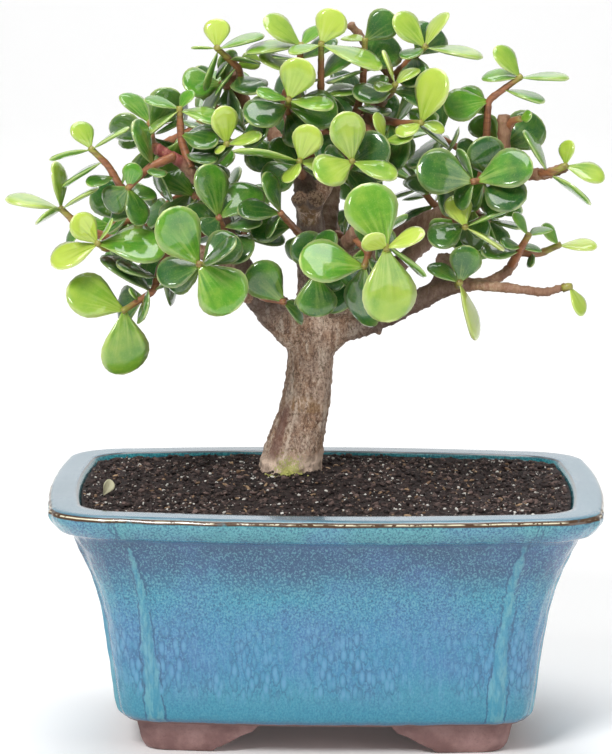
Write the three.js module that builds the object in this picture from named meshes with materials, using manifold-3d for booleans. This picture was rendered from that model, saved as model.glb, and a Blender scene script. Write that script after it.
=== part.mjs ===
// Dwarf jade bonsai: a small succulent tree with round fleshy leaves, in a glazed stoneware pot on four
// bracket feet, filled with soil. Millimetres, +Z up, the front of the pot towards -Y.
import * as THREE from "three";
import { mergeVertices } from "three/addons/utils/BufferGeometryUtils.js";
import Module from "manifold-3d";

const wasm = await Module();
wasm.setup();

// Driving dimensions of the pot
const RIM_HALF_LENGTH = 76.2;
const RIM_HALF_DEPTH = 53.8;
const POT_HEIGHT = 70;
const FOOT_HEIGHT = 8.5;
const SIDE_BOW = 8; // how far the long rim bows out, middle against corners
const END_BOW = 5;
const RIDGE = 0.9; // raised edge beside each corner panel
const DRAIN_HOLE_RADIUS = 5;
const DRAIN_HOLE_SPACING = 52;
const SOIL_BELOW_RIM = 1.3;
const SEAT_GAP = 0.3; // between pieces that touch
const TRUNK_SPOT = [-10.2, 12];
const ROOT_RADIUS = 8.6;
const ROOT_DEPTH = 26;
const MOUND_HEIGHT = 3.3;
const MOUND_REACH = 24;

// The crown is drawn as it is seen from the front, a metre away and a little above, on a drawing whose
// middle is the middle of the rim. spot() turns a place on the drawing, and how far back it lies, into
// a place in space.
const EYE_DISTANCE = 1043;
const EYE_RISE = THREE.MathUtils.degToRad(11.3);
const DRAWING_SCALE = 3770;
const DRAWING_MIDDLE = { u: 326.4, v: 482.3 };
const TO_EYE = new THREE.Vector3(0, -Math.cos(EYE_RISE), Math.sin(EYE_RISE));

function spot(u, v, back) {
  const cos = Math.cos(EYE_RISE);
  const sin = Math.sin(EYE_RISE);
  const slope = (DRAWING_MIDDLE.v - v) / DRAWING_SCALE;
  const rise = (slope * (EYE_DISTANCE + back * cos) - back * sin) / (cos + slope * sin);
  const away = EYE_DISTANCE + back * cos - rise * sin;
  return new THREE.Vector3(((u - DRAWING_MIDDLE.u) / DRAWING_SCALE) * away, back, POT_HEIGHT + rise);
}

// A seeded run of numbers from 0 to 1, the same on every machine.
function seededDraw(seed) {
  let state = seed >>> 0;
  return () => {
    state = (Math.imul(1664525, state) + 1013904223) >>> 0;
    return state / 4294967296;
  };
}

// A closed surface through rings of points, with a flat cap on each end, as a solid.
function solidOfRings(rings) {
  const count = rings[0].length;
  const points = rings.flat();
  const faces = [];
  for (let r = 0; r + 1 < rings.length; r++)
    for (let i = 0; i < count; i++) {
      const j = (i + 1) % count;
      const a = r * count + i;
      const b = r * count + j;
      faces.push(a, b, b + count, a, b + count, a + count);
    }
  for (const [r, turned] of [[0, true], [rings.length - 1, false]]) {
    const middle = new THREE.Vector3();
    rings[r].forEach((p) => middle.add(p));
    points.push(middle.divideScalar(count));
    for (let i = 0; i < count; i++) {
      const a = r * count + i;
      const b = r * count + ((i + 1) % count);
      faces.push(points.length - 1, ...(turned ? [b, a] : [a, b]));
    }
  }
  return solidOf(points, faces);
}

function solidOf(points, faces) {
  const geometry = new THREE.BufferGeometry().setFromPoints(points).setIndex(faces);
  return solidOfGeometry(geometry);
}

function solidOfGeometry(geometry) {
  const bare = geometry.clone();
  bare.deleteAttribute("normal");
  bare.deleteAttribute("uv");
  const merged = mergeVertices(bare, 1e-4);
  const mesh = new wasm.Mesh({
    numProp: 3,
    vertProperties: new Float32Array(merged.attributes.position.array),
    triVerts: new Uint32Array(merged.index.array),
  });
  const made = new wasm.Manifold(mesh);
  if (made.volume() < 0) throw new Error("a solid is inside out");
  return made;
}

function unionOf(solids) {
  return wasm.Manifold.union(solids);
}

// Keeps the largest body, so that no loose scrap is left beside it.
function mainBody(solid) {
  return solid.decompose().sort((a, b) => b.volume() - a.volume())[0];
}

const FINEST_EDGE = 0.06; // shorter edges left by joining solids are closed up
const bonsai = new THREE.Group();

function addNode(name, solid, material) {
  const { numProp, vertProperties, triVerts } = solid.simplify(FINEST_EDGE).getMesh();
  const positions = new Float32Array((vertProperties.length / numProp) * 3);
  for (let i = 0; i < positions.length / 3; i++)
    positions.set(vertProperties.subarray(i * numProp, i * numProp + 3), i * 3);
  const geometry = new THREE.BufferGeometry();
  geometry.setAttribute("position", new THREE.BufferAttribute(positions, 3));
  geometry.setIndex(new THREE.BufferAttribute(triVerts, 1));
  geometry.computeVertexNormals();
  const mesh = new THREE.Mesh(geometry, material);
  mesh.name = name;
  bonsai.add(mesh);
}

const glaze = new THREE.MeshStandardMaterial({ color: 0x3f86b4, roughness: 0.2, metalness: 0 });
const peat = new THREE.MeshStandardMaterial({ color: 0x2a1e1b, roughness: 1, metalness: 0 });
const bark = new THREE.MeshStandardMaterial({ color: 0x7d6350, roughness: 0.85, metalness: 0 });
const foliage = new THREE.MeshStandardMaterial({ color: 0x5a9a35, roughness: 0.35, metalness: 0 });
const screenPlastic = new THREE.MeshStandardMaterial({ color: 0x2b2b2b, roughness: 0.6, metalness: 0 });

// One ring of the pot's plan, inset from the rim: bowed sides, rounded corners, and a raised edge where
// each side meets its corner.
function potRing(inset, z, ridge) {
  const a = RIM_HALF_LENGTH - inset;
  const b = RIM_HALF_DEPTH - inset;
  const share = 1 - inset / 40;
  const cornerX = 19.5 - 0.45 * inset;
  const cornerY = 18 - 0.4 * inset;
  const side = (x) => b - SIDE_BOW * share * (x / a) ** 2;
  const end = (y) => a - END_BOW * share * (y / b) ** 2;
  const startX = a - cornerX;
  const endY = b - cornerY;
  const reachX = end(endY) - startX;
  const reachY = side(startX) - endY;
  const quarter = [0.3, 0.7].map((k) => [k * startX, side(k * startX)]);
  quarter.push([startX, side(startX) + ridge]);
  for (const degrees of [14, 38, 62]) {
    const turn = THREE.MathUtils.degToRad(degrees);
    quarter.push([startX + reachX * Math.sin(turn), endY + reachY * Math.cos(turn)]);
  }
  quarter.push([end(endY) + ridge, endY], [end(0.5 * endY), 0.5 * endY]);
  const mirrored = quarter.toReversed();
  const plan = [
    ...quarter.map(([x, y]) => [x, y]),
    ...mirrored.map(([x, y]) => [x, -y]),
    ...quarter.map(([x, y]) => [-x, -y]),
    ...mirrored.map(([x, y]) => [-x, y]),
  ];
  return plan.toReversed().map(([x, y]) => new THREE.Vector3(x, y, z));
}

// Inset from the rim, height, and raised corner edge of the pot's outer wall, from its lower lip up to the
// flat of the rim; then inset and height of the inner wall down to the floor.
const OUTER_WALL = [
  [22.8, 8.5, 0], [20.4, 9.6, 0.4], [18.6, 13.4, RIDGE], [17, 26, RIDGE], [15.2, 38, RIDGE],
  [13, 47, RIDGE], [10, 55, RIDGE], [7.4, 60, 0.7], [5.8, 62.6, 0], [3.2, 63.3, 0], [1.2, 65.4, 0],
  [0, 67.6, 0], [0.3, 69.3, 0], [1.4, 70, 0],
];
const INNER_WALL = [[7.9, 70], [8.4, 69], [11.6, 61.5], [17.6, 48], [21.2, 28], [26, 14]];
const FLOOR_HEIGHT = INNER_WALL.at(-1)[1];

// The inset of the inner wall at a height, by straight runs between its rings.
function innerInset(z) {
  for (let i = 0; i + 1 < INNER_WALL.length; i++) {
    const [[insetTop, top], [insetLow, low]] = [INNER_WALL[i], INNER_WALL[i + 1]];
    if (z >= low) return insetTop + ((insetLow - insetTop) * (top - z)) / (top - low);
  }
  return INNER_WALL.at(-1)[0];
}

// Half the gap between two feet at each height, as a curved bracket.
const LONG_GAP = [[30.5, -1], [30.5, 0], [29.4, 1.2], [26, 2.8], [22.6, 5], [19.5, 6.2], [18, 8.4]];
const SHORT_GAP = [[15, -1], [15, 0], [14, 1.2], [11.4, 2.8], [9.4, 5], [8.3, 6.2], [7.6, 8.4]];

function gapCutter(profile, length) {
  const shape = new THREE.Shape();
  profile.forEach(([half, z], i) => (i ? shape.lineTo(half, z) : shape.moveTo(half, z)));
  profile.toReversed().forEach(([half, z]) => shape.lineTo(-half, z));
  const geometry = new THREE.ExtrudeGeometry(shape, { depth: length, bevelEnabled: false });
  return geometry.rotateX(Math.PI / 2).translate(0, length / 2, 0);
}

function makePot() {
  const outer = OUTER_WALL.map(([inset, z, ridge]) => potRing(inset, z, ridge));
  const inner = INNER_WALL.map(([inset, z]) => potRing(inset, z, 0));
  const body = solidOfRings([...outer, ...inner]);
  const footTop = potRing(23.2, FOOT_HEIGHT + 1.5, 0);
  const foot = solidOfRings([potRing(26.4, 0, 0), potRing(25, 2.2, 0), footTop]);
  const hollow = solidOfRings([potRing(38, -1, 0), potRing(36, FOOT_HEIGHT, 0)]);
  const alongLong = solidOfGeometry(gapCutter(LONG_GAP, 160));
  const alongShort = solidOfGeometry(gapCutter(SHORT_GAP, 200).rotateZ(Math.PI / 2));
  const feet = foot.subtract(hollow).subtract(alongLong).subtract(alongShort);
  const drains = [-1, 1].map((side) => {
    const hole = new THREE.CylinderGeometry(DRAIN_HOLE_RADIUS, DRAIN_HOLE_RADIUS, 20, 16);
    hole.rotateX(Math.PI / 2).translate((side * DRAIN_HOLE_SPACING) / 2, 0, FLOOR_HEIGHT - 3);
    return solidOfGeometry(hole);
  });
  return body.add(feet).subtract(unionOf(drains));
}

// How high the soil stands above its level edge: a mound round the trunk, and crumbs.
function soilRelief(x, y) {
  const away = Math.hypot(x - TRUNK_SPOT[0], y - TRUNK_SPOT[1]);
  const mound = MOUND_HEIGHT * Math.exp(-((away / MOUND_REACH) ** 2));
  const crumbs = Math.sin(x * 0.63 + 1.3) * Math.sin(y * 0.71) + 0.6 * Math.sin(x * 1.27 - y * 0.9);
  return mound + 0.35 * crumbs;
}

function makeSoil() {
  const top = POT_HEIGHT - SOIL_BELOW_RIM;
  const ringAt = (z) => potRing(innerInset(z) + SEAT_GAP, z, 0);
  const levels = INNER_WALL.map(([, z]) => z).filter((z) => z < top - 1 && z > FLOOR_HEIGHT);
  const rings = [FLOOR_HEIGHT + SEAT_GAP, ...levels.toReversed(), top - 0.6].map(ringAt);
  for (const share of [0.985, 0.85, 0.68, 0.52, 0.37, 0.23])
    rings.push(
      ringAt(top).map(({ x, y }) => {
        const px = TRUNK_SPOT[0] * (1 - share) + x * share;
        const py = TRUNK_SPOT[1] * (1 - share) + y * share;
        return new THREE.Vector3(px, py, top + soilRelief(px, py) * Math.min(1, (1 - share) * 12));
      }),
    );
  const hole = new THREE.CylinderGeometry(ROOT_RADIUS + SEAT_GAP, ROOT_RADIUS + SEAT_GAP, 60, 20);
  hole.rotateX(Math.PI / 2).translate(...TRUNK_SPOT, POT_HEIGHT - ROOT_DEPTH - SEAT_GAP + 30);
  return solidOfRings(rings).subtract(solidOfGeometry(hole));
}

// Limbs as lists of [u, v, back, radius] on the drawing, each from inside the one that carries it.
const LIMBS = {
  trunk: [[292, 459, 12, 8.5], [295, 446, 12, 7.8], [301, 420, 12, 7.2], [307, 392, 12, 6.5],
    [310, 364, 12, 6.4], [310, 344, 12, 6.6], [311, 318, 12, 5.4]],
  left: [[305, 346, 12, 5], [289, 331, 9, 4.1], [268, 314, 5, 3.6], [249, 290, 0, 3.2], [235, 260, -4, 2.8],
    [221, 225, -4, 2.4], [205, 192, -4, 2.1], [180, 163, -6, 1.7], [152, 148, -8, 1.5]],
  middle: [[311, 326, 12, 5], [312, 292, 12, 4.6], [311, 245, 12, 4.3], [307, 208, 12, 3.8],
    [298, 168, 14, 2.6], [290, 125, 14, 2.1], [282, 92, 14, 1.8]],
  right: [[313, 348, 12, 5], [337, 330, 10, 4.2], [366, 323, 7, 3.3], [400, 308, 3, 3], [430, 292, 0, 2.8],
    [450, 284, -2, 2.6], [470, 283, -2, 1.8]],
  bare: [[466, 283, -2, 1.7], [505, 286, -4, 1.4], [545, 291, -6, 1.25], [566, 284, -7, 1.05]],
  climb: [[450, 285, -2, 2], [488, 282, 2, 1.7], [510, 267, 4, 1.45], [518, 248, 5, 1.3]],
  high: [[312, 300, 12, 4], [352, 262, 16, 3.2], [400, 232, 18, 2.8], [442, 212, 16, 2.6],
    [476, 196, 12, 2.4], [500, 172, 8, 2.1], [545, 172, 4, 1.6], [566, 164, 3, 1.4]],
  upright: [[500, 175, 8, 1.9], [502, 150, 7, 1.8], [502, 112, 6, 1.9]],
  top: [[307, 208, 12, 3], [338, 160, 18, 2.3], [372, 110, 20, 2], [392, 74, 20, 1.6]],
  pinkTip: [[390, 78, 20, 1.4], [369, 49, 18, 1.3], [346, 21, 16, 1.25]],
  topLeft: [[298, 170, 14, 2.2], [268, 130, 20, 2], [240, 100, 22, 1.8], [228, 72, 18, 1.6]],
  front: [[312, 296, 10, 3.4], [330, 262, -8, 2.6], [352, 235, -22, 2.1], [372, 205, -30, 1.7]],
  frontLeft: [[246, 295, 0, 2.4], [226, 284, -14, 2], [204, 268, -26, 1.7]],
  outLeft: [[234, 264, -4, 2.2], [186, 248, -6, 2], [140, 244, -8, 1.8], [104, 240, -8, 1.5]],
  back: [[312, 300, 14, 3.6], [322, 252, 34, 2.8], [330, 196, 46, 2.3], [334, 130, 50, 1.9],
    [334, 84, 46, 1.6]],
  backLeft: [[300, 338, 14, 3.8], [262, 290, 32, 3], [220, 240, 46, 2.4], [180, 190, 50, 1.9],
    [150, 150, 46, 1.6]],
  backRight: [[320, 335, 14, 3.6], [372, 285, 34, 2.8], [425, 240, 46, 2.3], [470, 190, 46, 1.9],
    [492, 140, 42, 1.6]],
};

// Leafy stems seen from the front. way: the stem as [u, v, back] from its limb to its tip. leaves: each
// from how far along the stem, to where its tip is on the drawing, how wide it looks there, and how far
// its tip lies behind its root. lone: it has no other leaves.
const SHOOTS = [
  { way: [[106, 240, -8], [75, 226, -10], [56, 208, -10]],
    leaves: [[1, 3, 197, 15, -2], [1, 55, 162, 13, 1], [1, 93, 187, 14, -3], [1, 33, 221, 11, -7],
      [0.5, 62, 243, 16, 4]], lone: true },
  { way: [[120, 243, -8], [104, 250, -16], [94, 244, -22]],
    leaves: [[1, 72, 217, 28, -2], [1, 94, 216, 8, 3], [1, 48, 264, 28, -3], [1, 150, 206, 26, -2],
      [0.4, 140, 250, 24, 8]], lone: true },
  { way: [[150, 244, -8], [128, 205, -14], [105, 166, -14], [86, 148, -14]],
    leaves: [[1, 73, 122, 22, 2], [1, 124, 126, 16, -3], [1, 45, 158, 11, -2], [0.85, 54, 174, 11, 4],
      [0.7, 84, 184, 14, -4], [0.6, 118, 166, 13, 3], [0.5, 152, 190, 20, 5], [0.35, 108, 214, 18, 3]],
    lone: true },
  { way: [[170, 246, -7], [158, 270, -12], [152, 292, -16], [120, 313, -20]],
    leaves: [[1, 66, 288, 44, -3], [1, 124, 377, 46, 1], [0.62, 106, 248, 42, 0], [0.6, 190, 262, 28, -4],
      [0.8, 128, 290, 11, -2], [0.3, 176, 300, 20, 8]] },
  { way: [[204, 268, -26], [196, 264, -31]],
    leaves: [[1, 163, 212, 48, -4], [1, 236, 309, 54, -3], [0.5, 236, 236, 26, 4], [0.5, 178, 292, 22, 7]] },
  { way: [[188, 168, -6], [178, 140, -4], [176, 106, -4]],
    leaves: [[1, 141, 97, 13, 0], [1, 188, 89, 14, 2], [1, 134, 118, 18, -3], [1, 216, 90, 16, -3],
      [0.6, 214, 142, 24, -5], [0.5, 142, 150, 14, 4], [0.3, 208, 176, 20, -5]] },
  { way: [[170, 157, -7], [146, 168, -14], [124, 190, -18]],
    leaves: [[1, 118, 164, 12, 2], [1, 140, 226, 22, -3], [1, 92, 198, 20, 2], [0.5, 158, 176, 14, -6],
      [0.5, 176, 196, 16, -3]] },
  { way: [[238, 98, 22], [236, 68, 14], [212, 46, 8]],
    leaves: [[1, 213, 17, 26, 2], [1, 188, 40, 9, 1], [1, 174, 50, 13, -4], [1, 260, 31, 13, 1],
      [1, 176, 66, 16, 5], [0.6, 202, 74, 16, -5], [0.6, 256, 56, 20, 3], [0.3, 200, 97, 16, -4]] },
  { way: [[283, 94, 14], [296, 66, 8], [298, 42, 4]],
    leaves: [[1, 262, 15, 25, -2], [1, 254, 9, 9, 3], [1, 318, 22, 16, 4], [0.5, 262, 48, 24, -4],
      [0.5, 290, 60, 18, 4]] },
  { way: [[300, 172, 15], [318, 100, 6], [318, 40, -2]],
    leaves: [[1, 334, 8, 32, 0], [1, 380, 63, 22, -4], [1, 286, 50, 12, -4], [0.6, 354, 84, 18, 4]] },
  { way: [[289, 120, 14], [284, 108, 2], [286, 98, -8]],
    leaves: [[1, 300, 58, 36, -2], [1, 254, 90, 14, -3], [1, 330, 104, 18, -5], [0.6, 262, 122, 18, 3]] },
  { way: [[258, 120, 21], [240, 140, 4], [223, 144, -8]],
    leaves: [[1, 220, 106, 30, -2], [1, 206, 158, 16, -3], [1, 258, 134, 15, -4], [0.8, 186, 130, 24, 3]] },
  { way: [[300, 176, 14], [298, 170, -2], [297, 160, -16]],
    leaves: [[1, 231, 146, 30, -3], [1, 310, 125, 31, -2], [1, 284, 181, 26, -5], [1, 336, 172, 20, 4]] },
  { way: [[330, 172, 16], [346, 166, 0], [350, 160, -16]],
    leaves: [[1, 342, 111, 36, -2], [1, 310, 178, 38, -6], [1, 395, 174, 22, -4], [0.6, 378, 146, 18, 5]] },
  { way: [[311, 250, 12], [296, 232, -6], [278, 212, -18]],
    leaves: [[1, 264, 172, 32, -2], [1, 238, 200, 22, -3], [1, 262, 236, 22, 2], 
      [0.5, 286, 258, 18, 2]] },
  { way: [[374, 204, -30], [382, 228, -37], [385, 250, -42]],
    leaves: [[1, 360, 183, 48, 2], [1, 360, 236, 26, -4], [1, 422, 230, 26, -3], [1, 390, 322, 54, -2],
      [0.9, 438, 256, 34, 4]] },
  { way: [[352, 235, -22], [368, 252, -28], [362, 268, -31]],
    leaves: [[1, 298, 258, 44, -3], [1, 360, 326, 36, 5], [0.4, 402, 214, 26, 9]] },
  { way: [[330, 262, -8], [318, 268, -18], [314, 276, -22]],
    leaves: [[1, 316, 317, 40, -2], [1, 340, 238, 24, 6]] },
  { way: [[244, 284, -2], [262, 298, -10], [284, 302, -14]],
    leaves: [[1, 250, 266, 40, -3], [1, 304, 318, 18, 5]], lone: true },
  { way: [[228, 246, -4], [222, 232, -12], [216, 216, -16]],
    leaves: [[1, 204, 164, 24, 0], [1, 202, 234, 26, -3], [1, 240, 168, 24, 5], [1, 246, 206, 24, 3],
      [0.7, 186, 204, 22, 2]] },
  { way: [[344, 151, 18.4], [360, 86, 12], [362, 36, 8]],
    leaves: [[1, 391, 12, 32, 0], [1, 340, 34, 12, 5], [0.5, 398, 60, 16, 3], [0.5, 350, 62, 16, -5]] },
  { way: [[392, 74, 20], [408, 58, 12], [424, 43, 8]],
    leaves: [[1, 393, 12, 20, -2], [1, 436, 4, 24, 2], [1, 481, 51, 15, -2], [1, 400, 48, 10, -6],
      [1, 462, 28, 8, 4]] },
  { way: [[378, 98, 20], [388, 92, 8], [393, 82, 0]],
    leaves: [[1, 382, 48, 13, -2], [1, 410, 57, 20, 1], [1, 420, 75, 9, -4], [1, 372, 86, 13, -3],
      [0.5, 366, 104, 16, 4]] },
  { way: [[368, 116, 20], [398, 122, 6], [420, 121, -4]],
    leaves: [[1, 436, 67, 34, -2], [1, 396, 133, 16, -5], [1, 443, 128, 14, 0], [0.5, 410, 92, 16, 6],
      [0.9, 448, 142, 13, 5]] },
  { way: [[362, 125, 19.4], [374, 142, 4], [383, 139, -4]],
    leaves: [[1, 374, 111, 13, -1], [1, 410, 134, 9, -4], [1, 366, 168, 14, 2], [1, 402, 190, 22, 4]] },
  { way: [[476, 196, 12], [484, 148, 10], [486, 98, 6], [520, 73, 4]],
    leaves: [[1, 494, 43, 22, 0], [1, 484, 55, 12, 3], [1, 567, 72, 11, -2], [0.85, 543, 97, 12, -4],
      [0.72, 442, 106, 34, -3], [0.62, 470, 76, 8, 2], [0.35, 456, 146, 22, -4]], lone: true },
  { way: [[505, 128, 8], [510, 118, 4], [520, 116, 2]],
    leaves: [[1, 529, 112, 12, -3]], lone: true },
  { way: [[500, 172, 8], [486, 178, -4], [470, 180, -10]],
    leaves: [[1, 416, 164, 46, -3], [0.9, 530, 158, 20, -1], [1, 454, 206, 20, 2], [1, 452, 152, 18, 5]] },
  { way: [[540, 171, 4], [552, 170, 0], [566, 162, -1]],
    leaves: [[1, 566, 137, 15, 1], [1, 604, 174, 14, -1], [0.3, 525, 126, 12, 2], [0.3, 592, 199, 13, -4]],
    lone: true },
  { way: [[442, 212, 16], [462, 222, 0], [464, 226, -8]],
    leaves: [[1, 460, 190, 25, 0], [1, 504, 206, 24, 2], [1, 506, 238, 24, -5], [1, 440, 218, 18, -3],
      [0.5, 430, 240, 16, 6]] },
  { way: [[456, 285, -2], [459, 281, -8]],
    leaves: [[1, 468, 245, 32, -2], [1, 479, 338, 15, -3], [1, 428, 262, 18, 3]], lone: true },
  { way: [[510, 264, 4], [520, 246, 0], [528, 232, -3]],
    leaves: [[1, 513, 210, 12, 0], [1, 545, 214, 14, 3], [0.6, 500, 240, 12, -3], [0.5, 481, 250, 10, -4],
      [0.6, 540, 246, 10, 3]], lone: true },
  { way: [[518, 250, 5], [538, 252, 7], [560, 242, 6]],
    leaves: [[1, 542, 222, 14, -1], [1, 560, 212, 10, 2], [1, 596, 242, 14, -2], [0.3, 530, 264, 11, -4]],
    lone: true },
  { way: [[562, 286, -7], [571, 284, -8]],
    leaves: [[1, 584, 313, 16, -1]], lone: true },
];

// Leafy stems behind and within the crown, each from a limb out to a place on a rounded crown.
const CROWN = { u: 300, v: 208, back: 14, across: 196, up: 142, deep: 46 };
const FILL = {
  count: 22, pairs: 4, apart: 5,
  limbs: ["back", "backLeft", "backRight", "left", "middle", "high", "top", "topLeft"],
};
const LEAF_THICKNESS = 1.3;
const LEAF_CLEARANCE = 0.3;
const WIDTH_OF_LENGTH = 0.8;

function limbPoints(name) {
  return LIMBS[name].map(([u, v, back, radius]) => ({ at: spot(u, v, back), radius }));
}

// Places along a stem: the point and the heading at a share of its length, short of its cut end. Leaves
// that share a place step down the stem a little, one after another.
const ROOT_SUNK = 0.7;
const ROOT_STEP = 0.13;

function alongWay(points, share, step = 0) {
  const lengths = points.slice(1).map((p, i) => p.distanceTo(points[i]));
  const total = lengths.reduce((sum, length) => sum + length, 0);
  let left = Math.min(share * total, total - ROOT_SUNK) - step * ROOT_STEP;
  for (let i = 0; i < lengths.length; i++) {
    if (left <= lengths[i] || i === lengths.length - 1) {
      const heading = points[i + 1].clone().sub(points[i]).normalize();
      return { at: points[i].clone().addScaledVector(heading, Math.min(left, lengths[i])), heading };
    }
    left -= lengths[i];
  }
}

// A leaf: its root, its heading, the way its upper face looks, its length and its width.
function leafOf(at, heading, faceHint, length, width, roll) {
  const side = new THREE.Vector3().crossVectors(heading, faceHint).normalize();
  const face = new THREE.Vector3().crossVectors(side, heading).normalize();
  face.applyAxisAngle(heading, roll);
  return { at, heading, face, side: new THREE.Vector3().crossVectors(heading, face), length, width };
}

// A leaf whose tip is drawn at a place and which looks a given width from the front.
function drawnLeaf(at, tip, looksWide) {
  const reach = tip.clone().sub(at);
  const length = reach.length();
  const heading = reach.normalize();
  const width = Math.max(looksWide, WIDTH_OF_LENGTH * length);
  const roll = Math.acos(Math.min(1, looksWide / width));
  const options = [roll, -roll].map((turn) => leafOf(at, heading, TO_EYE, length, width, turn));
  return options[0].face.z >= options[1].face.z ? options[0] : options[1];
}

// The outline as shares of length and of half width: narrow at the root, widest past the middle.
const LEAF_OUTLINE = [[0, 0.12], [0.26, 0.64], [0.6, 1], [0.93, 0.58]];

function leafPoint(leaf, along, across, lift) {
  const curl = 0.05 * leaf.width * across * across - 0.07 * leaf.length * along * along;
  return leaf.at
    .clone()
    .addScaledVector(leaf.heading, along * leaf.length)
    .addScaledVector(leaf.side, (across * leaf.width) / 2)
    .addScaledVector(leaf.face, curl + lift);
}

// The leaf's edge as points close together, for telling whether it clears what is round it.
function leafEdge(leaf) {
  const points = [];
  for (let i = 0; i < 24; i++) {
    const turn = ((i + 0.5) / 24) * 2 * Math.PI;
    const along = 0.14 + 0.86 * (0.5 - 0.5 * Math.cos(turn));
    const across = Math.sin(turn) * (1 - 0.22 * Math.cos(turn));
    points.push(leafPoint(leaf, along, across, 0));
  }
  return points;
}

// Whether a ball at a point comes nearer to a leaf's blade than the clearance.
function nearBlade(leaf, point, radius) {
  const away = point.clone().sub(leaf.at);
  const along = away.dot(leaf.heading);
  const across = away.dot(leaf.side);
  const grown = radius + LEAF_CLEARANCE;
  const alongShare = (along - 0.54 * leaf.length) / (0.46 * leaf.length + grown);
  const acrossShare = across / (leaf.width / 2 + grown);
  if (alongShare * alongShare + acrossShare * acrossShare > 1) return false;
  const share = along / leaf.length;
  const sidewise = (2 * across) / leaf.width;
  const sag = 0.05 * leaf.width * sidewise * sidewise - 0.07 * leaf.length * share * share;
  return Math.abs(away.dot(leaf.face) - sag) < LEAF_THICKNESS / 2 + grown;
}

function bladesMeet(one, other) {
  const reach = one.length + other.length;
  if (one.at.distanceToSquared(other.at) > reach * reach) return false;
  const margin = 0.2;
  if (one.at.distanceTo(other.at) > 2.5)
    for (const [mine, theirs] of [[one, other], [other, one]])
      if ([0.02, 0.08].some((share) => nearBlade(theirs, leafPoint(mine, share, 0, 0), 0.9))) return true;
  const reached = (mine, theirs) => mine.edge.some((point) => nearBlade(theirs, point, margin));
  return reached(other, one) || reached(one, other);
}

// Tries to turn, tilt or shrink a leaf until it clears every blade and stem placed so far.
const TRIES = [];
for (const shrink of [1, 0.88, 0.75, 0.64])
  for (const tilt of [0, 0.22, -0.22, 0.45, -0.45, 0.7, -0.7])
    for (const roll of [0, 0.3, -0.3, 0.6, -0.6, 0.95, -0.95]) TRIES.push({ shrink, tilt, roll });

function fitLeaf(leaf, blades, balls, floor) {
  for (const { shrink, tilt, roll } of TRIES) {
    const heading = leaf.heading.clone().applyAxisAngle(leaf.side, tilt);
    const face = leaf.face.clone().applyAxisAngle(leaf.side, tilt).applyAxisAngle(heading, roll);
    const side = new THREE.Vector3().crossVectors(heading, face);
    const [length, width] = [leaf.length * shrink, leaf.width * shrink];
    const tried = { ...leaf, heading, face, side, length, width };
    tried.edge = leafEdge(tried);
    if (tried.edge.some((point) => point.z < floor)) continue;
    const near = (ball) => {
      const reach = tried.length + ball.radius + 3;
      if (ball.at.distanceToSquared(tried.at) > reach * reach) return false;
      return ball.at.distanceTo(tried.at) > ball.radius + 1.6 && nearBlade(tried, ball.at, ball.radius);
    };
    if (balls.some(near) || blades.some((blade) => bladesMeet(blade, tried))) continue;
    return tried;
  }
  return null;
}

// The middle limb's knot of old cuts shows from the front: whether a leaf that the rule laid hides it.
const KNOT = { u: 304, v: 205, back: 12, wide: 5.6, tall: 7 };

function hidesKnot(leaf) {
  const middle = leafPoint(leaf, 0.58, 0, 0);
  const gap = middle.clone().sub(spot(KNOT.u, KNOT.v, middle.y));
  return middle.y < KNOT.back && Math.abs(gap.x) < KNOT.wide && Math.abs(gap.z) < KNOT.tall;
}

// Balls along a stem or a limb, close enough together to stand for it.
function ballsAlong(points) {
  const balls = [];
  for (let i = 0; i + 1 < points.length; i++) {
    const [from, to] = [points[i], points[i + 1]];
    const steps = Math.ceil(from.at.distanceTo(to.at) / 1.5);
    for (let k = 0; k <= steps; k++)
      balls.push({
        at: from.at.clone().lerp(to.at, k / steps),
        radius: from.radius + ((to.radius - from.radius) * k) / steps,
      });
  }
  return balls;
}

const STEM_RADIUS = { root: 1.3, tip: 0.8 };
const STEM_NUDGES = [
  [0, 0, 0], [0, 0, 2.5], [2.5, 0, 0], [-2.5, 0, 0], [0, 2.5, 0], [0, 0, -2.5], [2, 2, 2], [-2, 2, 2],
];

function stemThrough(way) {
  return way.map((at, i) => {
    const share = i / (way.length - 1);
    return { at, radius: STEM_RADIUS.root + (STEM_RADIUS.tip - STEM_RADIUS.root) * share };
  });
}

function stemMeets(stem, others) {
  return ballsAlong(stem).some(({ at, radius }) =>
    others.some((ball) => at.distanceTo(ball.at) < radius + ball.radius + LEAF_CLEARANCE),
  );
}

// Where the filling stems go: even turns round the back of the crown, each from the nearest free place
// on a limb.
function fillWays(limbBalls, taken) {
  const golden = Math.PI * (3 - Math.sqrt(5));
  return Array.from({ length: FILL.count }, (_, k) => {
    const height = 0.92 - (1.25 * (k + 0.5)) / FILL.count;
    const flat = Math.sqrt(1 - height * height);
    const turn = Math.abs(((k * golden + 0.5) % (2 * Math.PI)) - Math.PI) * 1.15 - 0.24;
    const reach = k % 3 === 1 ? 0.6 : 1;
    const tip = spot(
      CROWN.u + CROWN.across * flat * reach * Math.cos(turn),
      CROWN.v - CROWN.up * height * (reach < 1 ? 0.85 : 1),
      CROWN.back + CROWN.deep * flat * reach * Math.sin(turn),
    );
    const free = limbBalls.filter(({ at }) => taken.every((other) => other.distanceTo(at) > FILL.apart));
    const nearer = (one, other) => (other.at.distanceTo(tip) < one.at.distanceTo(tip) ? other : one);
    const root = free.reduce(nearer).at;
    taken.push(root);
    const middle = root.clone().lerp(tip, 0.5);
    middle.z -= 2;
    return [root, middle, tip];
  });
}

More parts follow.
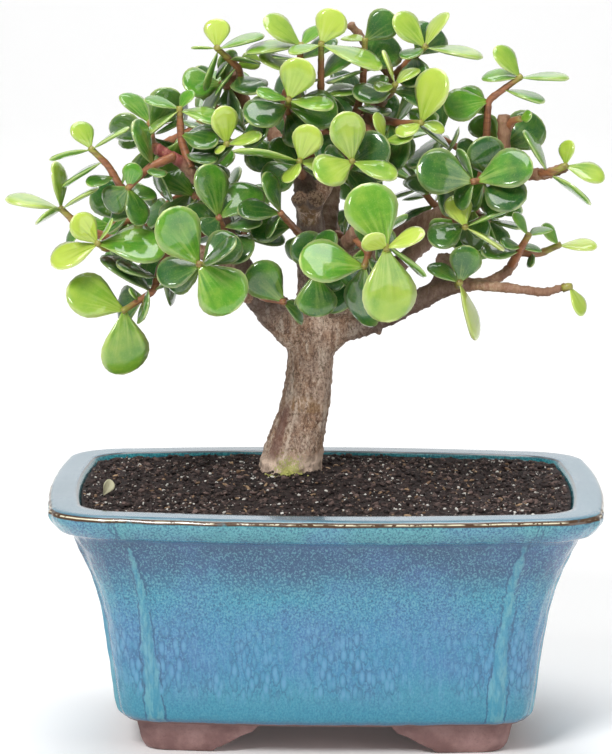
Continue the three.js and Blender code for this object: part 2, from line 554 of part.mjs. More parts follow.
function growShoots() {
  const draw = seededDraw(20);
  const balls = Object.keys(LIMBS).flatMap((name) => ballsAlong(limbPoints(name)));
  const drawnWays = SHOOTS.map(({ way }) => way.map(([u, v, back]) => spot(u, v, back)));
  const limbBalls = FILL.limbs.flatMap((name) => ballsAlong(limbPoints(name).slice(1)));
  const roots = drawnWays.map((way) => way[0]);
  const fills = fillWays(limbBalls, roots).map((way) => ({ way, pairs: FILL.pairs }));
  const drawn = SHOOTS.map(({ leaves, lone }, i) => ({ way: drawnWays[i], leaves, lone, pairs: 0 }));
  const stemBalls = [];
  const shoots = [...drawn, ...fills].map((shoot) => {
    let way = shoot.way;
    for (const [x, y, z] of shoot.pairs ? STEM_NUDGES : []) {
      const nudge = new THREE.Vector3(x, y, z);
      const moved = shoot.way.map((at, i) => (i ? at.clone().addScaledVector(nudge, i) : at));
      if (!stemMeets(stemThrough(moved), stemBalls)) {
        way = moved;
        break;
      }
    }
    const stem = stemThrough(way);
    stemBalls.push(...ballsAlong(stem));
    return { ...shoot, way, stem, blades: [] };
  });
  balls.push(...stemBalls);
  const blades = [];
  const floor = POT_HEIGHT + 4;
  const place = (shoot, leaf, byRule = false) => {
    const fitted = fitLeaf(leaf, blades, balls, floor);
    if (!fitted) return;
    blades.push(fitted);
    if (!(byRule && hidesKnot(fitted))) shoot.blades.push(fitted);
  };
  for (const shoot of shoots)
    for (const [i, [share, u, v, looksWide, back]] of (shoot.leaves ?? []).entries()) {
      const { at } = alongWay(shoot.way, share, i);
      const tip = spot(u, v, at.y + back);
      place(shoot, drawnLeaf(at, tip, (looksWide / DRAWING_SCALE) * (EYE_DISTANCE + at.y)));
    }
  // Opposite pairs, each turned a quarter against the last, growing smaller towards the tip.
  for (const shoot of shoots.filter(({ lone }) => !lone)) {
    const shareOf = (k) => (shoot.pairs ? 1 - 0.2 * k : 0.72 - 0.3 * k);
    const shares = Array.from({ length: shoot.pairs || 2 }, (_, k) => shareOf(k));
    for (const [k, share] of shares.entries()) {
      const { heading } = alongWay(shoot.way, share);
      const across = new THREE.Vector3(-heading.y, heading.x, 0.05).normalize();
      const outward = across.applyAxisAngle(heading, (k % 2) * (Math.PI / 2) + draw() * 0.7);
      for (const hand of [1, -1]) {
        const lean = share > 0.99 ? 1.1 : 0.45;
        const way = outward.clone().multiplyScalar(hand).addScaledVector(heading, lean).normalize();
        const length = (share > 0.99 ? 9 : 11) + 3 * draw();
        const faceHint = new THREE.Vector3(0, -0.25, 1).addScaledVector(heading, 0.35);
        const width = length * (0.78 + 0.12 * draw());
        const { at } = alongWay(shoot.way, share, hand > 0 ? 0 : 1);
        place(shoot, leafOf(at, way, faceHint, length, width, (draw() - 0.5) * 0.5), true);
      }
    }
  }
  return shoots;
}

// A round tube through points that each have a radius, its rings square to the way between them.
function tubeThrough(points, sides, grow = 0, twist = 0) {
  const rings = [];
  let across = null;
  for (let i = 0; i < points.length; i++) {
    const before = points[Math.max(0, i - 1)].at;
    const after = points[Math.min(points.length - 1, i + 1)].at;
    const heading = after.clone().sub(before).normalize();
    if (!across) across = new THREE.Vector3(1, 0.13, 0.2);
    across.addScaledVector(heading, -across.dot(heading)).normalize();
    const other = new THREE.Vector3().crossVectors(heading, across);
    const { at, radius } = points[i];
    rings.push(
      Array.from({ length: sides }, (_, k) => {
        const turn = (k / sides) * 2 * Math.PI + twist;
        const lobed = (radius + grow) * (1 + (points[i].lobe ?? 0) * Math.cos(3 * turn + 0.6));
        return at
          .clone()
          .addScaledVector(across, lobed * Math.cos(turn))
          .addScaledVector(other, lobed * Math.sin(turn));
      }),
    );
  }
  return solidOfRings(rings);
}

// A cut stub: a short swollen ring left where a branch was taken off.
const STUBS = [
  { from: [308, 215, 12], to: [296, 196, 6], radius: 2.4 },
  { from: [307, 212, 12], to: [314, 197, 3], radius: 2.8 },
  { from: [441, 290, 0], to: [445, 254, 5], radius: 3 },
  { from: [268, 318, 5], to: [284, 301, -2], radius: 1.9 },
  { from: [376, 322, 5], to: [378, 334, 4], radius: 0.9 },
];

// The trunk's plain round root, which stands in the soil's hole.
function rootPoints() {
  const [x, y] = TRUNK_SPOT;
  const levels = [[-ROOT_DEPTH, 0.8], [6 - ROOT_DEPTH, 1], [2.2, 1]];
  return levels.map(([rise, share]) => ({
    at: new THREE.Vector3(x, y, POT_HEIGHT + rise),
    radius: ROOT_RADIUS * share,
  }));
}

function makeWood(grow) {
  const limbs = Object.keys(LIMBS).map((name) => {
    const points = limbPoints(name);
    if (name !== "trunk") return tubeThrough(points, 6, grow);
    points.forEach((point, i) => (point.lobe = i < 6 ? 0.06 : 0));
    return tubeThrough([...rootPoints(), ...points], 13, grow);
  });
  const stubs = STUBS.map(({ from, to, radius }) => {
    const [root, end] = [spot(...from), spot(...to)];
    const lip = root.clone().lerp(end, 0.75);
    const points = [{ at: root, radius }, { at: lip, radius }, { at: end, radius: radius * 0.8 }];
    return tubeThrough(points, 7, grow);
  });
  return unionOf([...limbs, ...stubs]);
}

// A thin lens with a sharp edge and a stout narrow root, which is sunk in the stem.
function makeLeaf(leaf) {
  const half = LEAF_THICKNESS / 2;
  const edge = [
    ...LEAF_OUTLINE.map(([along, across]) => leafPoint(leaf, along, across, 0)),
    ...LEAF_OUTLINE.toReversed().map(([along, across]) => leafPoint(leaf, along, -across, 0)),
  ];
  const low = [leafPoint(leaf, 0.02, 0, 0.7 * half), leafPoint(leaf, 0.02, 0, -0.7 * half)];
  const high = [leafPoint(leaf, 0.6, 0, half), leafPoint(leaf, 0.6, 0, -half)];
  const count = edge.length;
  const [topLow, underLow, topHigh, underHigh] = [count, count + 1, count + 2, count + 3];
  const upper = [topLow, 1, topHigh, topLow, topHigh, count - 2];
  const under = [underLow, underHigh, 1, underLow, count - 2, underHigh];
  const faces = [...upper, ...under];
  for (let i = 0; i < count; i++) {
    const j = (i + 1) % count;
    const nearRoot = i === 0 || i >= count - 2;
    faces.push(i, j, nearRoot ? topLow : topHigh, i, nearRoot ? underLow : underHigh, j);
  }
  return solidOf([...edge, ...low, ...high], faces);
}

function makeShoot(shoot, collar) {
  const stem = tubeThrough(shoot.stem, 4);
  return mainBody(unionOf([stem, ...shoot.blades.map(makeLeaf)]).subtract(collar));
}

const shoots = growShoots();
const collar = makeWood(0.35);
addNode("pot", makePot(), glaze);
addNode("soil", makeSoil(), peat);
addNode("trunk", makeWood(0), bark);
for (const [i, shoot] of shoots.entries()) {
  const number = String(i + 1).padStart(2, "0");
  addNode(`spray_${number}`, makeShoot(shoot, collar), foliage);
}

bonsai.updateMatrixWorld(true);
const box = new THREE.Box3().setFromObject(bonsai);
const middle = box.getCenter(new THREE.Vector3());
for (const mesh of bonsai.children) mesh.geometry.translate(-middle.x, -middle.y, -box.min.z);

export default bonsai;
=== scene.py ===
"""A dwarf jade bonsai: a small succulent tree with round fleshy leaves, in a blue glazed pot of dark soil.

Lengths are millimetres until a mesh is made, and metres from then on. The front of the pot faces -Y. The
crown is laid out on a drawing of the front, as in the part's source: Drawing.spot turns a place on the
drawing, and how far back it lies, into a place in space.
"""

from __future__ import annotations

import logging
import math
from collections.abc import Callable
from dataclasses import dataclass, field
from enum import Enum
from itertools import product
from typing import Any

import bmesh
import bpy
import numpy as np
from mathutils import Matrix, Vector

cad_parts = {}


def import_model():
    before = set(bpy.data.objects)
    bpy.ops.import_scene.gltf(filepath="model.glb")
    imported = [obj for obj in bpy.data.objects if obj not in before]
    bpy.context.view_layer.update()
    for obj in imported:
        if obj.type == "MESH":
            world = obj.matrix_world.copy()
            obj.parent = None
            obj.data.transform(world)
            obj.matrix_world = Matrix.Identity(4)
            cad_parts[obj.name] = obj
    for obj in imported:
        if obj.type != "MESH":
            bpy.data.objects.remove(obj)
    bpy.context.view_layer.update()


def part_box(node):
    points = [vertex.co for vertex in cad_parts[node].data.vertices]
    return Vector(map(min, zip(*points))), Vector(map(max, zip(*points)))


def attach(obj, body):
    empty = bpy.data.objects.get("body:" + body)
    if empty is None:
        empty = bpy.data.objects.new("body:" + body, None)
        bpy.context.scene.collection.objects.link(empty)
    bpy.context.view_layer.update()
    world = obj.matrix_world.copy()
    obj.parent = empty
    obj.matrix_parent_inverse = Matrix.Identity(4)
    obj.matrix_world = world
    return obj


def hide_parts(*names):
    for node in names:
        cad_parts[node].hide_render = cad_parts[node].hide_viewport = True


LOG = logging.getLogger("bonsai")
Array = np.ndarray
Triple = tuple[float, float, float]
Pairs = tuple[tuple[float, float], ...]
LimbPlace = tuple[float, float, float, float]
DrawnLeaf = tuple[float, float, float, float, float, float]
Blade = tuple[Array, Array, Array, Array, Any, Any]
Mesh, Object, Material = bpy.types.Mesh, bpy.types.Object, bpy.types.Material
MILLIMETRE = 0.001
FULL_TURN = 2 * math.pi


class Slot(Enum):
    """The material slots."""

    GLAZE = "glaze"
    PEAT = "peat"
    BARK = "bark"
    FOLIAGE = "foliage"


def unit(vectors: Array) -> Array:
    """Scale vectors to length one."""
    return vectors / np.linalg.norm(vectors, axis=-1, keepdims=True)


def bell(values: Array, wide: float | Array) -> Array:
    """A bell: exp(-(v / wide)^2)."""
    return np.exp(-((values / wide) ** 2))


def clamped(values: Array) -> Array:
    """Values kept between 0 and 1."""
    return np.clip(values, 0, 1)


def lengths_along(line: Array) -> Array:
    """How far along a line each of its places lies."""
    return np.concatenate([[0], np.cumsum(np.linalg.norm(np.diff(line, axis=0), axis=1))])


def turned(vectors: Array, axis: Array, angle: float) -> Array:
    """Turn vectors about an axis.

    Args:
        vectors: One vector, or rows of them.
        axis: The axis, of length one.
        angle: The turn in radians.

    Returns:
        v cos a + (axis x v) sin a + axis (axis . v) (1 - cos a).
    """
    cos, sin = math.cos(angle), math.sin(angle)
    along = (vectors @ axis)[..., None] * axis
    return vectors * cos + np.cross(axis, vectors) * sin + along * (1 - cos)


def ripple(points: Array, size: float, seed: int, octaves: int = 3) -> Array:
    """Smooth noise over space, about -1 to 1.

    Args:
        points: Rows of places.
        size: The length of the widest wave.
        seed: Which pattern.
        octaves: How many finer layers there are.

    Returns:
        A value for each row: products of three sines along turned axes, finer and weaker layer by layer.
    """
    finer, weaker = 1.9, 0.55
    draw = np.random.default_rng(seed)
    total = np.zeros(len(points))
    weight = 1.0
    for octave in range(octaves):
        axes = unit(draw.normal(size=(3, 3)))
        phases = draw.uniform(0, FULL_TURN, 3)
        waves = np.sin(points @ axes.T * (FULL_TURN * finer**octave / size) + phases)
        first, second, third = waves[:, 0], waves[:, 1], waves[:, 2]
        total += weight * (0.6 * first * second + 0.5 * second * third + 0.3 * first)
        weight *= weaker
    return total


@dataclass(frozen=True)
class Drawing:
    """The drawing of the front: a metre away, looking a little down, its middle on the rim's middle."""

    distance: float = 1043.0
    rise: float = math.radians(11.3)
    scale: float = 3770.0
    middle_u: float = 326.4
    middle_v: float = 482.3
    rim_height: float = 70.0

    @property
    def to_eye(self) -> Array:
        """The direction from the rim's middle to the eye."""
        return np.array([0.0, -math.cos(self.rise), math.sin(self.rise)])

    def spot(self, u: float, v: float, back: float) -> Array:
        """Find the place that is drawn at (u, v) and lies a given distance back.

        Args:
            u: How far right it is drawn.
            v: How far down it is drawn.
            back: How far back it lies.

        Returns:
            The place, in millimetres.
        """
        cos, sin = math.cos(self.rise), math.sin(self.rise)
        slope = (self.middle_v - v) / self.scale
        up = (slope * (self.distance + back * cos) - back * sin) / (cos + slope * sin)
        away = self.distance + back * cos - up * sin
        return np.array([(u - self.middle_u) / self.scale * away, back, self.rim_height + up])

    def away(self, places: Array, at: Triple) -> Array:
        """How far each place lies from the place drawn at (u, v, back)."""
        return np.linalg.norm(places - self.spot(*at), axis=1)


DRAWING = Drawing()


@dataclass(frozen=True)
class PotPlan:
    """The pot's driving dimensions, as in the part's source."""

    half_length: float = 76.2
    half_depth: float = 53.8
    height: float = 70.0
    floor_height: float = 14.0
    side_bow: float = 8.0
    end_bow: float = 5.0
    bow_gone_at: float = 40.0
    corner_along_side: float = 19.5
    corner_along_end: float = 18.0
    side_shrink: float = 0.45
    end_shrink: float = 0.4
    corner_arc: float = 15.0
    ridge_wide: float = 1.7
    drain_radius: float = 5.0
    drain_spacing: float = 52.0
    soil_below_rim: float = 1.3
    seat_gap: float = 0.3
    # Inset from the rim, height, and raised corner edge, from the lower lip up to the flat of the rim.
    outer: tuple[Triple, ...] = (
        (22.8, 8.5, 0), (20.4, 9.6, 0.4), (18.6, 13.4, 0.9), (17, 26, 0.9), (15.2, 38, 0.9), (13, 47, 0.9),
        (10, 55, 0.9), (7.4, 60, 0.7), (5.8, 62.6, 0), (3.2, 63.3, 0), (1.2, 65.4, 0), (0, 67.6, 0),
        (0.3, 69.3, 0), (1.4, 70, 0),
    )
    inner: Pairs = ((7.9, 70), (8.4, 69), (11.6, 61.5), (17.6, 48), (21.2, 28), (26, 14))

    @property
    def soil_level(self) -> float:
        """The height of the soil at the pot's wall."""
        return self.height - self.soil_below_rim

    def inner_inset(self, height: Array) -> Array:
        """The inset of the inner wall at each height, by straight runs between its rings."""
        insets, heights = np.array(self.inner[::-1]).T
        return np.interp(height, heights, insets)

    def ring(self, share: Array, inset: Array, ridge: Array) -> tuple[Array, Array]:
        """Points of the pot's plan.

        Each quarter has a long side bowed as b - bow (x/a)^2, a quarter ellipse for its corner, and an end
        bowed in the same way. A ridge is a bell on the outside of each place where a side meets a corner.

        Args:
            share: Places round the plan from 0 to 12, three to each quarter: side, corner, end.
            inset: How far the plan lies inside the rim.
            ridge: The height of the ridge.

        Returns:
            The points' x and y.
        """
        quarter = np.floor(share / 3).astype(int) % 4
        within = share - 3 * np.floor(share / 3)
        within = np.where(quarter % 2 == 1, 3 - within, within)
        a, b = self.half_length - inset, self.half_depth - inset
        fade = 1 - inset / self.bow_gone_at
        start_x = a - (self.corner_along_side - self.side_shrink * inset)
        end_y = b - (self.corner_along_end - self.end_shrink * inset)

        def side_at(x: Array) -> Array:
            """The long side's y at each x."""
            return b - self.side_bow * fade * (x / a) ** 2

        def end_at(y: Array) -> Array:
            """The end's x at each y."""
            return a - self.end_bow * fade * (y / b) ** 2

        turn = clamped(within - 1) * math.pi / 2
        reach_x, reach_y = end_at(end_y) - start_x, side_at(start_x) - end_y
        x = start_x + reach_x * np.sin(turn)
        y = end_y + reach_y * np.cos(turn)
        on_side, on_end = within < 1, within > 2
        x = np.where(on_side, within * start_x, x)
        y = np.where(on_side, side_at(x), y)
        y = np.where(on_end, (3 - within) * end_y, y)
        x = np.where(on_end, end_at(y), x)
        from_side = np.where(on_side, (1 - within) * start_x, turn * self.corner_arc)
        from_end = np.where(on_end, (within - 2) * end_y, (math.pi / 2 - turn) * self.corner_arc)
        y = y + ridge * bell(from_side, self.ridge_wide)
        x = x + ridge * bell(from_end, self.ridge_wide)
        sign_x = np.where((quarter == 0) | (quarter == 1), 1.0, -1.0)
        sign_y = np.where((quarter == 0) | (quarter == 3), 1.0, -1.0)
        return x * sign_x, y * sign_y


@dataclass(frozen=True)
class Ground:
    """The soil's surface and the place where the trunk stands in it, as in the part's source."""

    trunk_spot: tuple[float, float] = (-10.2, 12.0)
    root_radius: float = 8.6
    root_depth: float = 26.0
    mound_height: float = 3.3
    mound_reach: float = 24.0
    crumb_height: float = 0.35

    def from_trunk(self, x: Array, y: Array) -> Array:
        """How far each place lies from the trunk's middle."""
        return np.hypot(x - self.trunk_spot[0], y - self.trunk_spot[1])

    def height(self, x: Array, y: Array) -> Array:
        """The soil's height: level, a bell round the trunk, and crumbs as products of sines.

        Args:
            x: The places' x.
            y: Their y.

        Returns:
            The height at each.
        """
        mound = self.mound_height * bell(self.from_trunk(x, y), self.mound_reach)
        crumbs = np.sin(x * 0.63 + 1.3) * np.sin(y * 0.71) + 0.6 * np.sin(x * 1.27 - y * 0.9)
        return PLAN.soil_level + mound + self.crumb_height * crumbs


PLAN = PotPlan()
GROUND = Ground()

# Limbs as rows of u, v, back and radius on the drawing, each from inside the one that carries it.
LIMBS: dict[str, list[LimbPlace]] = {
    "trunk": [
        (292, 459, 12, 8.5), (295, 446, 12, 7.8), (301, 420, 12, 7.2), (307, 392, 12, 6.5),
        (310, 364, 12, 6.4), (310, 344, 12, 6.6), (311, 318, 12, 5.4),
    ],
    "left": [
        (305, 346, 12, 5), (289, 331, 9, 4.1), (268, 314, 5, 3.6), (249, 290, 0, 3.2),
        (235, 260, -4, 2.8), (221, 225, -4, 2.4), (205, 192, -4, 2.1), (180, 163, -6, 1.7),
        (152, 148, -8, 1.5),
    ],
    "middle": [
        (311, 326, 12, 5), (312, 292, 12, 4.6), (311, 245, 12, 4.3), (307, 208, 12, 3.8),
        (298, 168, 14, 2.6), (290, 125, 14, 2.1), (282, 92, 14, 1.8),
    ],
    "right": [
        (313, 348, 12, 5), (337, 330, 10, 4.2), (366, 323, 7, 3.3), (400, 308, 3, 3), (430, 292, 0, 2.8),
        (450, 284, -2, 2.6), (470, 283, -2, 1.8),
    ],
    "bare": [(466, 283, -2, 1.7), (505, 286, -4, 1.4), (545, 291, -6, 1.25), (566, 284, -7, 1.05)],
    "climb": [(450, 285, -2, 2), (488, 282, 2, 1.7), (510, 267, 4, 1.45), (518, 248, 5, 1.3)],
    "high": [
        (312, 300, 12, 4), (352, 262, 16, 3.2), (400, 232, 18, 2.8), (442, 212, 16, 2.6),
        (476, 196, 12, 2.4), (500, 172, 8, 2.1), (545, 172, 4, 1.6), (566, 164, 3, 1.4),
    ],
    "upright": [(500, 175, 8, 1.9), (502, 150, 7, 1.8), (502, 112, 6, 1.9)],
    "top": [(307, 208, 12, 3), (338, 160, 18, 2.3), (372, 110, 20, 2), (392, 74, 20, 1.6)],
    "pinkTip": [(390, 78, 20, 1.4), (369, 49, 18, 1.3), (346, 21, 16, 1.25)],
    "topLeft": [(298, 170, 14, 2.2), (268, 130, 20, 2), (240, 100, 22, 1.8), (228, 72, 18, 1.6)],
    "front": [(312, 296, 10, 3.4), (330, 262, -8, 2.6), (352, 235, -22, 2.1), (372, 205, -30, 1.7)],
    "frontLeft": [(246, 295, 0, 2.4), (226, 284, -14, 2), (204, 268, -26, 1.7)],
    "outLeft": [(234, 264, -4, 2.2), (186, 248, -6, 2), (140, 244, -8, 1.8), (104, 240, -8, 1.5)],
    "back": [
        (312, 300, 14, 3.6), (322, 252, 34, 2.8), (330, 196, 46, 2.3), (334, 130, 50, 1.9),
        (334, 84, 46, 1.6),
    ],
    "backLeft": [
        (300, 338, 14, 3.8), (262, 290, 32, 3), (220, 240, 46, 2.4), (180, 190, 50, 1.9),
        (150, 150, 46, 1.6),
    ],
    "backRight": [
        (320, 335, 14, 3.6), (372, 285, 34, 2.8), (425, 240, 46, 2.3), (470, 190, 46, 1.9),
        (492, 140, 42, 1.6),
    ],
}

# A cut stub: from and to as u, v and back, and its radius.
STUBS: list[tuple[Triple, Triple, float]] = [
    ((308, 215, 12), (296, 196, 6), 2.4),
    ((307, 212, 12), (314, 197, 3), 2.8),
    ((441, 290, 0), (445, 254, 5), 3.0),
    ((268, 318, 5), (284, 301, -2), 1.9),
    ((376, 322, 5), (378, 334, 4), 0.9),
]


@dataclass(frozen=True)
class DrawnShoot:
    """A leafy stem seen from the front.

    way is the stem as (u, v, back) from its limb to its tip. Each leaf is: how far along the stem, u and v
    of its tip, how wide it looks on the drawing, how far its tip lies behind its root, and its tone, from 0
    for an old dark leaf to 1 for a young yellow one. A lone stem has no other leaves.
    """

    way: list[Triple]
    leaves: list[DrawnLeaf]
    lone: bool = False


SHOOTS: list[DrawnShoot] = [
    DrawnShoot([(106, 240, -8), (75, 226, -10), (56, 208, -10)], [
        (1, 3, 197, 15, -2, 0.75), (1, 55, 162, 13, 1, 0.7), (1, 93, 187, 14, -3, 0.65),
        (1, 33, 221, 11, -7, 0.6), (0.5, 62, 243, 16, 4, 0.3),
    ], lone=True),
    DrawnShoot([(120, 243, -8), (104, 250, -16), (94, 244, -22)], [
        (1, 72, 217, 28, -2, 0.95), (1, 94, 216, 8, 3, 0.6), (1, 48, 264, 28, -3, 0.8),
        (1, 150, 206, 26, -2, 0.45), (0.4, 140, 250, 24, 8, 0.1),
    ], lone=True),
    DrawnShoot([(150, 244, -8), (128, 205, -14), (105, 166, -14), (86, 148, -14)], [
        (1, 73, 122, 22, 2, 0.75), (1, 124, 126, 16, -3, 0.5), (1, 45, 158, 11, -2, 0.5),
        (0.85, 54, 174, 11, 4, 0.35), (0.7, 84, 184, 14, -4, 0.3), (0.6, 118, 166, 13, 3, 0.35),
        (0.5, 152, 190, 20, 5, 0.2), (0.35, 108, 214, 18, 3, 0.15),
    ], lone=True),
    DrawnShoot([(170, 246, -7), (158, 270, -12), (152, 292, -16), (120, 313, -20)], [
        (1, 66, 288, 44, -3, 0.7), (1, 124, 377, 46, 1, 0.7), (0.62, 106, 248, 42, 0, 0.05),
        (0.6, 190, 262, 28, -4, 0.1), (0.8, 128, 290, 11, -2, 0.5), (0.3, 176, 300, 20, 8, 0.1),
    ]),
    DrawnShoot([(204, 268, -26), (196, 264, -31)], [
        (1, 163, 212, 48, -4, 0.55), (1, 236, 309, 54, -3, 0.5), (0.5, 236, 236, 26, 4, 0.08),
        (0.5, 178, 292, 22, 7, 0.1),
    ]),
    DrawnShoot([(188, 168, -6), (178, 140, -4), (176, 106, -4)], [
        (1, 141, 97, 13, 0, 0.4), (1, 188, 89, 14, 2, 0.45), (1, 134, 118, 18, -3, 0.55),
        (1, 216, 90, 16, -3, 0.6), (0.6, 214, 142, 24, -5, 0.2), (0.5, 142, 150, 14, 4, 0.25),
        (0.3, 208, 176, 20, -5, 0.1),
    ]),
    DrawnShoot([(170, 157, -7), (146, 168, -14), (124, 190, -18)], [
        (1, 118, 164, 12, 2, 0.35), (1, 140, 226, 22, -3, 0.15), (1, 92, 198, 20, 2, 0.2),
        (0.5, 158, 176, 14, -6, 0.15), (0.5, 176, 196, 16, -3, 0.15),
    ]),
    DrawnShoot([(238, 98, 22), (236, 68, 14), (212, 46, 8)], [
        (1, 213, 17, 26, 2, 0.85), (1, 188, 40, 9, 1, 0.6), (1, 174, 50, 13, -4, 0.45),
        (1, 260, 31, 13, 1, 0.5), (1, 176, 66, 16, 5, 0.35), (0.6, 202, 74, 16, -5, 0.3),
        (0.6, 256, 56, 20, 3, 0.75), (0.3, 200, 97, 16, -4, 0.3),
    ]),
    DrawnShoot([(283, 94, 14), (296, 66, 8), (298, 42, 4)], [
        (1, 262, 15, 25, -2, 0.6), (1, 254, 9, 9, 3, 0.6), (1, 318, 22, 16, 4, 0.4),
        (0.5, 262, 48, 24, -4, 0.55), (0.5, 290, 60, 18, 4, 0.3),
    ]),
    DrawnShoot([(300, 172, 15), (318, 100, 6), (318, 40, -2)], [
        (1, 334, 8, 32, 0, 0.9), (1, 380, 63, 22, -4, 0.65), (1, 286, 50, 12, -4, 0.6),
        (0.6, 354, 84, 18, 4, 0.5),
    ]),
    DrawnShoot([(289, 120, 14), (284, 108, 2), (286, 98, -8)], [
        (1, 300, 58, 36, -2, 0.75), (1, 254, 90, 14, -3, 0.5), (1, 330, 104, 18, -5, 0.6),
        (0.6, 262, 122, 18, 3, 0.3),
    ]),
    DrawnShoot([(258, 120, 21), (240, 140, 4), (223, 144, -8)], [
        (1, 220, 106, 30, -2, 0.9), (1, 206, 158, 16, -3, 0.9), (1, 258, 134, 15, -4, 0.6),
        (0.8, 186, 130, 24, 3, 0.12),
    ]),
    DrawnShoot([(300, 176, 14), (298, 170, -2), (297, 160, -16)], [
        (1, 231, 146, 30, -3, 0.7), (1, 310, 125, 31, -2, 0.85), (1, 284, 181, 26, -5, 0.8),
        (1, 336, 172, 20, 4, 0.7),
    ]),
    DrawnShoot([(330, 172, 16), (346, 166, 0), (350, 160, -16)], [
        (1, 342, 111, 36, -2, 0.75), (1, 310, 178, 38, -6, 0.6), (1, 395, 174, 22, -4, 0.65),
        (0.6, 378, 146, 18, 5, 0.3),
    ]),
    DrawnShoot([(311, 250, 12), (296, 232, -6), (278, 212, -18)], [
        (1, 264, 172, 32, -2, 0.15), (1, 238, 200, 22, -3, 0.1), (1, 262, 236, 22, 2, 0.12),
        (0.5, 286, 258, 18, 2, 0.08),
    ]),
    DrawnShoot([(374, 204, -30), (382, 228, -37), (385, 250, -42)], [
        (1, 360, 183, 48, 2, 0.5), (1, 360, 236, 26, -4, 1), (1, 422, 230, 26, -3, 0.95),
        (1, 390, 322, 54, -2, 0.7), (0.9, 438, 256, 34, 4, 0.4),
    ]),
    DrawnShoot([(352, 235, -22), (368, 252, -28), (362, 268, -31)], [
        (1, 298, 258, 44, -3, 0.55), (1, 360, 326, 36, 5, 0.12), (0.4, 402, 214, 26, 9, 0.3),
    ]),
    DrawnShoot([(330, 262, -8), (318, 268, -18), (314, 276, -22)], [
        (1, 316, 317, 40, -2, 0.15), (1, 340, 238, 24, 6, 0.15),
    ]),
    DrawnShoot([(244, 284, -2), (262, 298, -10), (284, 302, -14)], [
        (1, 250, 266, 40, -3, 0.18), (1, 304, 318, 18, 5, 0.2),
    ], lone=True),
    DrawnShoot([(228, 246, -4), (222, 232, -12), (216, 216, -16)], [
        (1, 204, 164, 24, 0, 0.15), (1, 202, 234, 26, -3, 0.1), (1, 240, 168, 24, 5, 0.12),
        (1, 246, 206, 24, 3, 0.12), (0.7, 186, 204, 22, 2, 0.08),
    ]),
    DrawnShoot([(344, 151, 18.4), (360, 86, 12), (362, 36, 8)], [
        (1, 391, 12, 32, 0, 0.2), (1, 340, 34, 12, 5, 0.6), (0.5, 398, 60, 16, 3, 0.3),
        (0.5, 350, 62, 16, -5, 0.3),
    ]),
    DrawnShoot([(392, 74, 20), (408, 58, 12), (424, 43, 8)], [
        (1, 393, 12, 20, -2, 0.6), (1, 436, 4, 24, 2, 0.75), (1, 481, 51, 15, -2, 0.65),
        (1, 400, 48, 10, -6, 0.3), (1, 462, 28, 8, 4, 0.8),
    ]),
    DrawnShoot([(378, 98, 20), (388, 92, 8), (393, 82, 0)], [
        (1, 382, 48, 13, -2, 0.95), (1, 410, 57, 20, 1, 0.7), (1, 420, 75, 9, -4, 0.8),
        (1, 372, 86, 13, -3, 0.6), (0.5, 366, 104, 16, 4, 0.3),
    ]),
    DrawnShoot([(368, 116, 20), (398, 122, 6), (420, 121, -4)], [
        (1, 436, 67, 34, -2, 0.85), (1, 396, 133, 16, -5, 0.8), (1, 443, 128, 14, 0, 0.8),
        (0.5, 410, 92, 16, 6, 0.2), (0.9, 448, 142, 13, 5, 0.15),
    ]),
    DrawnShoot([(362, 125, 19.4), (374, 142, 4), (383, 139, -4)], [
        (1, 374, 111, 13, -1, 0.8), (1, 410, 134, 9, -4, 0.75), (1, 366, 168, 14, 2, 0.5),
        (1, 402, 190, 22, 4, 0.12),
    ]),
    DrawnShoot([(476, 196, 12), (484, 148, 10), (486, 98, 6), (520, 73, 4)], [
        (1, 494, 43, 22, 0, 0.75), (1, 484, 55, 12, 3, 0.5), (1, 567, 72, 11, -2, 0.6),
        (0.85, 543, 97, 12, -4, 0.5), (0.72, 442, 106, 34, -3, 0.3), (0.62, 470, 76, 8, 2, 0.3),
        (0.35, 456, 146, 22, -4, 0.15),
    ], lone=True),
    DrawnShoot([(505, 128, 8), (510, 118, 4), (520, 116, 2)], [
        (1, 529, 112, 12, -3, 0.5),
    ], lone=True),
    DrawnShoot([(500, 172, 8), (486, 178, -4), (470, 180, -10)], [
        (1, 416, 164, 46, -3, 0.08), (0.9, 530, 158, 20, -1, 0.3), (1, 454, 206, 20, 2, 0.15),
        (1, 452, 152, 18, 5, 0.15),
    ]),
    DrawnShoot([(540, 171, 4), (552, 170, 0), (566, 162, -1)], [
        (1, 566, 137, 15, 1, 0.75), (1, 604, 174, 14, -1, 0.75), (0.3, 525, 126, 12, 2, 0.5),
        (0.3, 592, 199, 13, -4, 0.45),
    ], lone=True),
    DrawnShoot([(442, 212, 16), (462, 222, 0), (464, 226, -8)], [
        (1, 460, 190, 25, 0, 0.95), (1, 504, 206, 24, 2, 0.4), (1, 506, 238, 24, -5, 1),
        (1, 440, 218, 18, -3, 0.6), (0.5, 430, 240, 16, 6, 0.2),
    ]),
    DrawnShoot([(456, 285, -2), (459, 281, -8)], [
        (1, 468, 245, 32, -2, 0.25), (1, 479, 338, 15, -3, 0.8), (1, 428, 262, 18, 3, 0.1),
    ], lone=True),
    DrawnShoot([(510, 264, 4), (520, 246, 0), (528, 232, -3)], [
        (1, 513, 210, 12, 0, 0.45), (1, 545, 214, 14, 3, 0.45), (0.6, 500, 240, 12, -3, 0.15),
        (0.5, 481, 250, 10, -4, 0.15), (0.6, 540, 246, 10, 3, 0.2),
    ], lone=True),
    DrawnShoot([(518, 250, 5), (538, 252, 7), (560, 242, 6)], [
        (1, 542, 222, 14, -1, 0.5), (1, 560, 212, 10, 2, 0.75), (1, 596, 242, 14, -2, 0.8),
        (0.3, 530, 264, 11, -4, 0.15),
    ], lone=True),
    DrawnShoot([(562, 286, -7), (571, 284, -8)], [
        (1, 584, 313, 16, -1, 0.75),
    ], lone=True),
]


